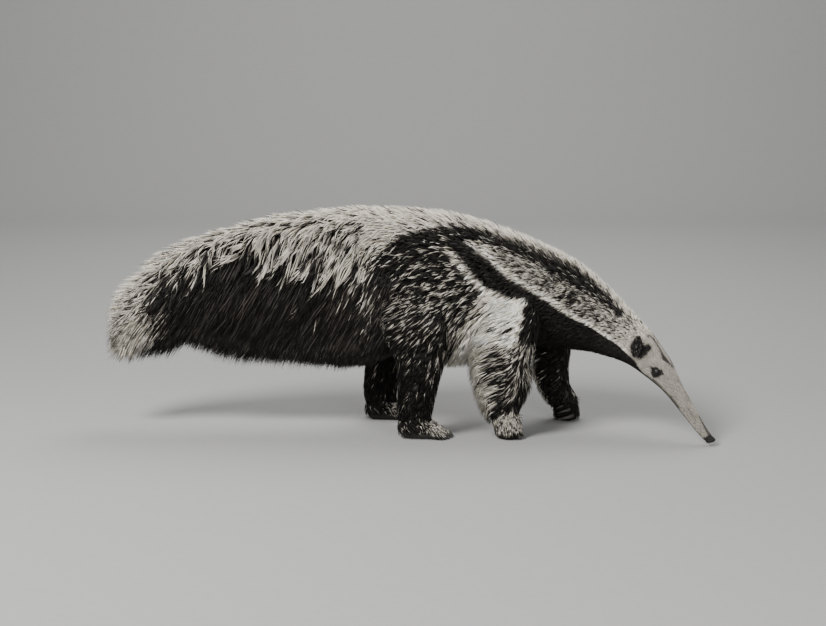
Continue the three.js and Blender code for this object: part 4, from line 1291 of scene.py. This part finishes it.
def curtain(loft):
    """The long hair of the tail. Seen from the side each hair runs straight, back and down, to the curtain's
    lower edge or part of the way to it, and its place across follows the curtain's width there."""
    chance = np.random.default_rng(CURTAIN["seed"])
    shares = CURTAIN["shares"]
    groups = []
    for side in SIDES.values():
        t, turn = rows_of_roots(body, (0.25, 10.2), (40, 180), CURTAIN["gap"], chance)
        pick = np.repeat(np.arange(len(t)), CURTAIN["many"])
        total = len(pick)
        clump_draw, stray = chance.random(len(t)), chance.normal(0, 1, len(t))[pick]
        root_t, root_a = body.speeds(t, np.pi / 2 - side * turn, 0.0)
        u, v = chance.uniform(-0.6, 0.6, (2, total)) * CURTAIN["gap"]
        t0 = np.clip(t[pick] + u / root_t[pick], 0.002, 0.998)
        a0 = np.pi / 2 - side * (turn[pick] + v / root_a[pick])
        root = body.point(t0, a0, -0.02)
        to_edge = chance.random(total) < 0.55
        reach = np.where(to_edge, 1.0 + 0.03 * (stray - 0.3), 0.15 + 0.80 * chance.beta(1.4, 1.2, total))
        slope = np.interp(t0 * body.last, (3, 9), CURTAIN["slopes"])
        slope = np.radians(slope + 4 * stray + 3 * chance.normal(0, 1, total))
        way = np.stack([-np.cos(slope), 0 * slope, -np.sin(slope)], axis=-1)
        level = root * (1, 0, 1) + (0, SHIFT[1], 0)
        long, end_section = to_lower_edge(level, way)
        centre, ahead, _, _ = body.frame(np.array(0.0))
        to_end = (centre - level) @ ahead / (way @ ahead) + CURTAIN["past_end"] * (0.6 + 0.4 * stray)
        corner = CURTAIN["corner"] * band(0.3, 1.7, 0.35, end_section)
        long = np.clip((np.minimum(long, to_end) + corner) * reach, 0.03, None)[:, None]
        places = level[:, None] + way[:, None] * (long * shares)[..., None]
        places[..., 2] -= 0.05 * (long * shares * (1 - shares)) - 0.03 * long * shares
        ts, down, wide = body.beside(places)
        outer = 1 - 0.55 * chance.random((total, 1)) ** 1.8
        spread = np.sqrt(shares)
        places[..., 1] += (root[:, 1:2] - SHIFT[1]) * (1 - spread) + side * wide * outer * spread
        angles = np.pi / 2 - side * (np.pi / 2 + np.arcsin(np.clip(down, -0.98, 0.98)))
        outward = body.outward(np.maximum(ts, FIRST), angles)
        end = 1 - smooth(*CURTAIN["pale_to"], places[:, -1, 0] - SHIFT[0] + 0.012 * stray)
        own = chance.random(total)
        colours = coloured(0.16 * end, 0.85 * end, clump_draw[pick], own, shares, chance, dark_range=4)
        breadth = CURTAIN["broad"] * (0.7 + 0.6 * chance.random(total))
        groups.append(Tufts(places, outward, breadth, breadth * THICKNESS, colours, loft.uv(t0, a0)))
    return merged(groups)


# The length of a leg's hair in millimetres, and how far back it points for each step down, by section.
LEG_HAIR = {
    "foreleg": [(0, 48), (1.5, 38), (3, 28), (4, 24), (5, 22), (6, 18)],
    "hindleg": [(0, 48), (1.5, 44), (3, 40), (4, 34), (5, 30), (6, 20)],
}
LEG_BACK = {
    "foreleg": [(0, 1.3), (1.2, 1.0), (1.9, 1.8), (3.2, 1.7), (4.2, 0.6), (5, 0.1)],
    "hindleg": [(0, 1.7), (0.9, 1.4), (1.6, 0.7), (3, 0.35), (5, 0.1)],
}
LEG_STYLE = Style(0.0040, 4, 0.0085, 0.0026, 3)


def leg_coat(name, loft, seed):
    kind, side_name = name.split("_")
    sign = SIDES[side_name]
    chance = np.random.default_rng(seed)
    sweep = loft.sweep

    def lie(t, turn, chance):
        front = np.cos(turn)
        s = t * sweep.last
        deep = spline(sweep.coat, t)
        fringe = np.where(front > 0, deep[:, 0], deep[:, 1]) * smooth(0.1, 0.8, np.abs(front))
        length = between(LEG_HAIR[kind], s) * MM + 0.9 * fringe
        length = length * (0.9 + 0.3 * chance.random(len(t)))
        back = between(LEG_BACK[kind], s)
        if kind == "foreleg":
            back = back - (back + 0.3) * smooth(0.55, 0.9, front) * smooth(1.4, 1.9, s)
        else:
            back = back - 0.5 * smooth(0.3, 0.9, front) * smooth(1.2, 2.2, s)
        way = np.stack([-back, 0 * t, 0 * t - 1], axis=-1)
        return way, length, 0.5 * fringe * smooth(1, 3, s), -0.12 - sunk_root(t)

    def markings(s, _from_top, a):
        return leg_markings(kind, s, np.cos(a) * sign, np.sin(a))

    groups = []
    for side in SIDES.values():
        t, turn = rows_of_roots(sweep, (0.02, 5.7), (0, 180), LEG_STYLE.spacing, chance)
        groups.append(clump_tufts(loft, t, turn, side, lie, LEG_STYLE, chance, markings))
    tufts = merged(groups)
    return tufts.chosen(~body.holds(tufts.paths[:, 0], -1.0))


FOOT_TUFTS = 2600
EAR_TUFTS = 900
SHORT_THICKNESS = 0.35
LOWEST_HAIR = 0.0012


def short_tufts(steps, out, broad, colours, uv, chance):
    """Tufts with three points, of about one breadth."""
    breadth = broad * (0.7 + 0.6 * chance.random(len(out)))
    outward = np.repeat(out[:, None], 3, axis=1)
    return Tufts(np.stack(steps, axis=1), outward, breadth, breadth * SHORT_THICKNESS, colours, uv)


def foot_coat(name, foot, seed):
    """Short hair on the upper side of a foot, pointing down and forward."""
    kind, side_name = name.split("_")
    end = LEGS[kind][side_name][-1][0]
    chance = np.random.default_rng(seed)
    mesh = foot.data
    mesh.calc_loop_triangles()
    corners, loops = (read(mesh.loop_triangles, key, 3) for key in ("vertices", "loops"))
    places = vertex_places(mesh)
    a, b, c = (places[corners[:, k]] for k in range(3))
    normal = np.cross(b - a, c - a)
    area = np.linalg.norm(normal, axis=1) / 2
    normal = unit(normal)
    weight = area * smooth(-0.35, 0.1, normal[:, 2]) * smooth(0.010, 0.018, a[:, 2])
    pick = chance.choice(len(weight), FOOT_TUFTS, p=weight / weight.sum())
    mix = chance.dirichlet((1, 1, 1), FOOT_TUFTS)
    root = np.einsum("nk,nkd->nd", mix, places[corners[pick]])
    root_uv = np.einsum("nk,nkd->nd", mix, baking_map(mesh)[loops[pick]])
    out = normal[pick]
    down = np.array([0.75 if kind == "hindleg" else 0.15, 0, -1])
    down = down + 0.25 * chance.normal(0, 1, (FOOT_TUFTS, 3))
    lying = unit(down - out * np.sum(down * out, axis=1, keepdims=True))
    length = (0.010 + 0.014 * chance.random(FOOT_TUFTS))[:, None]
    along, lift = lying * length, out * (0.28 * length)
    steps = [root - 0.001 * out, root + along * 0.5 + lift * 0.7, root + along + lift * 0.55]
    for row in steps:
        row[:, 2] = np.maximum(row[:, 2], LOWEST_HAIR)
    draws = chance.random((2, FOOT_TUFTS))
    colours = coloured(*foot_markings(kind, root, end), *draws, SHARES[3], chance)
    return short_tufts(steps, out, 0.0021, colours, root_uv, chance)


# Eyes, ears and claws
PUPIL, IRIS, WHITE = (0.003, 0.0027, 0.0025), (0.016, 0.009, 0.005), (0.014, 0.011, 0.010)


def eye(name, side):
    """A ball with a cornea that stands out a little over the iris."""
    at, out, ahead, _ = place_on_body(EYE["section"], EYE["from_top"], side)
    centre = at - out * EYE["sunk"] * MM
    rise = unit(np.cross(out, ahead))
    points, faces = ellipsoid_mesh(np.zeros(3), np.ones(3), 48, 48)
    ball = points / MM
    cornea = 1 + 0.06 * smooth(0.80, 0.97, ball[:, 2])
    local = ball * (EYE["radius"] * MM * cornea)[:, None]
    world = centre + local[:, :1] * ahead + local[:, 1:2] * rise + local[:, 2:] * out
    thing = mesh_object("eye_" + name + "_ball", world, faces)
    ring = np.degrees(np.arccos(np.clip(ball[:, 2], -1, 1)))
    colour = mixed(PUPIL, IRIS, (1 - smooth(33, 37, ring)) * smooth(13, 17, ring))
    colour = mixed(colour, WHITE, smooth(38, 46, ring))
    set_colours(thing.data, colour[corner_points(thing.data)])
    return thing


def ear_axes(side):
    """The middle of an ear, and the ways across it, up and out."""
    at, out, ahead, rise = place_on_body(EAR["section"], EAR["from_top"], side)
    swept_back, raised = EAR_SET["left" if side > 0 else "right"]
    tall = unit(rise - ahead * swept_back)
    thin = unit(out - tall * (out @ tall))
    return at + tall * raised * MM + thin * EAR["stands_out"] * MM, np.cross(tall, thin), tall, thin


def ear_point(side, x, y, layer):
    """A point of the ear's leaf at x across and y up, each from -1 to 1. The layer is 1 for its inner face
    and 0 for its outer one."""
    centre, wide, tall, thin = ear_axes(side)
    shape = EAR_SHAPE
    rim = x**2 + y**2
    narrow = 1 - 0.26 * smooth(0.1, 1, y) - 0.16 * smooth(0.0, 1, -y)
    cup = -shape["deep"] * (1 - rim * 0.86) * (0.75 + 0.25 * smooth(1, -1, y))
    roll = 1.6 * smooth(0.75, 1, rim) * np.sin(3 * np.arctan2(y, x))
    thick = shape["thick"] * np.sqrt(np.maximum(1 - rim * 0.93, 0))
    through = cup + roll + (layer - 0.5) * 2 * thick
    return (
        centre
        + wide * (shape["across"] * MM * x * narrow)[..., None]
        + tall * (shape["up"] * MM * y)[..., None]
        + thin * ((through + 3.5) * MM)[..., None]
    )


def ear(name, side):
    turns = np.linspace(0, 2 * np.pi, 72, endpoint=False)
    radii = np.linspace(0.04, 1, 22)
    rings = []
    for layer, order in ((1, radii), (0, radii[::-1])):
        rings += [ear_point(side, r * np.cos(turns), r * np.sin(turns), layer) for r in order]
    faces = loft_faces(len(rings), len(turns))
    if side > 0:
        faces = [face[::-1] for face in faces]
    return mesh_object("ear_" + name + "_leaf", np.vstack(rings), faces)


def ear_coat(side, seed):
    """Short hair over the outer face of an ear and along its rim."""
    chance = np.random.default_rng(seed)
    count = EAR_TUFTS
    turn = chance.uniform(0, 2 * np.pi, count)
    radius = np.sqrt(chance.uniform(0.02, 1, count))
    layer = (chance.random(count) < 0.3).astype(float)
    x, y = radius * np.cos(turn), radius * np.sin(turn)
    _, wide, tall, thin = ear_axes(side)
    root = ear_point(side, x, y, layer)
    out = thin * (layer * 2 - 1)[:, None]
    spread = wide * (0.5 * x)[:, None] + tall * (0.9 + 0.2 * y)[:, None] + chance.normal(0, 0.12, (count, 3))
    length = (0.005 + 0.003 * chance.random(count))[:, None]
    along = unit(spread) * length
    draws = chance.random((2, count))
    colours = coloured(np.zeros(count), np.full(count, 0.02), *draws, SHARES[3], chance, dark_range=0.5)
    uv = chart_uv("body", np.full(count, 0.86), 0.5 + side * 0.2 + 0.02 * x)
    steps = [root, root + along * 0.5 + out * 0.0012, root + along + out * 0.0010]
    return short_tufts(steps, out, 0.0013, colours, uv, chance)


def claw(name, places, radius):
    """A claw: a curved taper, flattened at its sides, with a shallow groove under it."""
    places = np.asarray(places, float) * MM + SHIFT
    rings, count = 30, 24
    t = np.linspace(0, 0.985, rings)
    ahead = unit(spline(places, np.clip(t + 1e-3, 0, 1)) - spline(places, np.clip(t - 1e-3, 0, 1)))
    side = unit(np.cross((0, 0, 1), ahead))
    up = np.cross(ahead, side)
    reach = radius * MM * np.sqrt(1 - t) * (1 + 0.03 * np.sin(t * 40))
    turn = np.linspace(0, 2 * np.pi, count, endpoint=False)
    groove = 1 - 0.22 * np.exp(-(((turn - 1.5 * np.pi) / 0.5) ** 2))
    points = (
        spline(places, t)[:, None]
        + side[:, None] * (0.8 * reach[:, None] * np.cos(turn) * groove)[..., None]
        + up[:, None] * (reach[:, None] * np.sin(turn) * groove)[..., None]
    )
    faces = loft_faces(rings, count)
    # The last of the faces is the flat end, which gives way to a point.
    end = faces.pop()
    faces += [[corner, end[(k + 1) % count], rings * count] for k, corner in enumerate(end)]
    return mesh_object(name + "_horn", np.vstack([points.reshape(-1, 3), places[-1]]), faces)


# The skin in one piece
body_loft = Loft(body, "body")
lofts = {name: Loft(sweep, name) for name, sweep in legs.items()}
skin = body_skin(body_loft)
feet = {name: foot_skin(name) for name in legs}
limbs = [leg_skin(name, loft) for name, loft in lofts.items()] + list(feet.values())
for limb in limbs:
    union = skin.modifiers.new("join", "BOOLEAN")
    union.operation = "UNION"
    union.solver = "MANIFOLD"
    union.object = limb
applied(skin)
flesh = ["head", "neck", "torso", "tail"]
flesh += [part + "_" + name for part in ("foreleg", "hindleg", "forefoot", "hindfoot") for name in SIDES]
finished(skin, skin_material(), "short_coat", *flesh)

# The coat. Each part of the body's has its sections, its angles from the top, its style, seed and slot.
BODY_COATS = {
    "coat_tail_top": ((0.1, 9.4), (0, 106), Style(0.0044, 8, 0.0130, 0.0042, 4), 12, "grey_coat"),
    "coat_tail_end": ((0.1, 2.6), (0, 70), Style(0.0044, 8, 0.0105, 0.0030, 4), 17, "grey_coat"),
    "coat_tail_flecks": ((5.8, 9.3), (106, 168), Style(0.0034, 3, 0.0240, 0.0020, 4), 16, "dark_coat"),
    "coat_trunk": ((9.0, 12.4), (0, 180), Style(0.0050, 4, 0.0112, 0.0020, 4), 13, "grey_coat"),
    "coat_neck": ((12.4, 16.7), (0, 180), Style(0.0023, 4, 0.0082, 0.0, 3), 14, "short_coat"),
    "coat_head": ((16.6, 21.85), (0, 180), Style(0.0009, 2, 0.0026, 0.0, 3), 15, "short_coat"),
}
hair = hair_material()
coat_pieces("coat_tail_curtain", curtain(body_loft), hair, "dark_coat")
for coat_name, (*layout, coat_slot) in BODY_COATS.items():
    coat_pieces(coat_name, trunk_coat(body_loft, *layout), hair, coat_slot)
for number, (leg_name, leg_loft) in enumerate(lofts.items()):
    coat_pieces("coat_" + leg_name, leg_coat(leg_name, leg_loft, 21 + number), hair, "grey_coat")
    coat_pieces("coat_foot_" + leg_name, foot_coat(leg_name, feet[leg_name], 31 + number), hair, "short_coat")
for limb in limbs:
    bpy.data.objects.remove(limb)

# Eyes, ears and claws
wet = eye_material()
leather = simple_material("ear_leather", (0.006, 0.005, 0.0045), (0.022, 0.018, 0.015), 0.75, 220)
horn = simple_material("horn", (0.008, 0.0065, 0.005), (0.03, 0.025, 0.019), 0.6, 320, 0.0002)
for side_name, sign in SIDES.items():
    finished(eye(side_name, sign), wet, "eye_gloss", "eye_" + side_name)
    finished(ear(side_name, sign), leather, "ear_skin", "ear_" + side_name)
    coat_pieces("coat_ear_" + side_name, ear_coat(sign, 41 + sign), hair, "ear_skin")
    wrist, heel = (rows[side_name][-1][0] for rows in (FORELEG, HINDLEG))
    for digit, (radius, path) in FORECLAWS.items():
        node = f"foreclaw_{digit}_{side_name}"
        route = [(wrist[0] + f, wrist[1] + sign * o, u) for f, o, u in path]
        finished(claw(node, route, radius), horn, "claw_horn", node)
    for digit, (beside, reach) in enumerate(zip(TOES, TOE_REACH), 1):
        node = f"hindclaw_{digit}_{side_name}"
        route = [(heel[0] + reach + f, heel[1] + beside, u) for f, u in HINDCLAW[1]]
        finished(claw(node, route, HINDCLAW[0]), horn, "claw_horn", node)

# Floor, light and camera. The floor's far end bends up into a wall.
bend = np.radians(np.linspace(0, 90, 25))
profile = [(-12, 0), *zip(5 + 3 * np.sin(bend), 3 - 3 * np.cos(bend)), (8, 9)]
edges = [(x, y, z) for y, z in profile for x in (-14, 14)]
floor = mesh_object("floor", edges, [(k, k + 1, k + 3, k + 2) for k in range(0, len(edges) - 2, 2)])
pale_floor = simple_material("pale_floor", (0.30, 0.297, 0.29), (0.31, 0.306, 0.298), 0.9, 40, 0.0001)
floor.data.materials.append(pale_floor)

world = bpy.data.worlds.new("studio")
world.use_nodes = True
world.node_tree.nodes["Background"].inputs["Color"].default_value = (0.82, 0.84, 0.86, 1)
world.node_tree.nodes["Background"].inputs["Strength"].default_value = 0.45
bpy.context.scene.world = world

# Each lamp has its place, the point that it is turned to, its size and its power.
LAMPS = {
    "key": ((-2.2, -2.4, 3.6), (0, 0, 0.3), 1.6, 330),
    "top": ((0.4, 1.2, 3.4), (0, 0, 0.3), 2.4, 85),
    "fill": ((2.0, -4.2, 0.9), (0, 0, 0.3), 2.4, 150),
    "backdrop": ((0, 3.2, 5.0), (0, 8, 2.5), 5.0, 250),
}
for lamp_name, (place, target, size, power) in LAMPS.items():
    lamp_data = bpy.data.lights.new(lamp_name, "AREA")
    lamp_data.shape = "DISK"
    lamp_data.size = size
    lamp_data.energy = power
    lamp = placed(lamp_name, lamp_data)
    lamp.location = place
    way = np.subtract(target, place)
    tilt, turn = math.acos(-way[2] / np.linalg.norm(way)), math.atan2(way[0], -way[1]) + math.pi
    lamp.rotation_euler = (tilt, 0, turn)

lens = bpy.data.cameras.new("camera")
lens.sensor_width = 36
lens.lens = lens.sensor_width * CAMERA_FOCAL
camera = placed("camera", lens)
camera.location = np.array(CAMERA_PLACE) + SHIFT
camera.rotation_euler = (math.radians(90 - CAMERA_DOWN), 0, 0)
bpy.context.scene.camera = camera
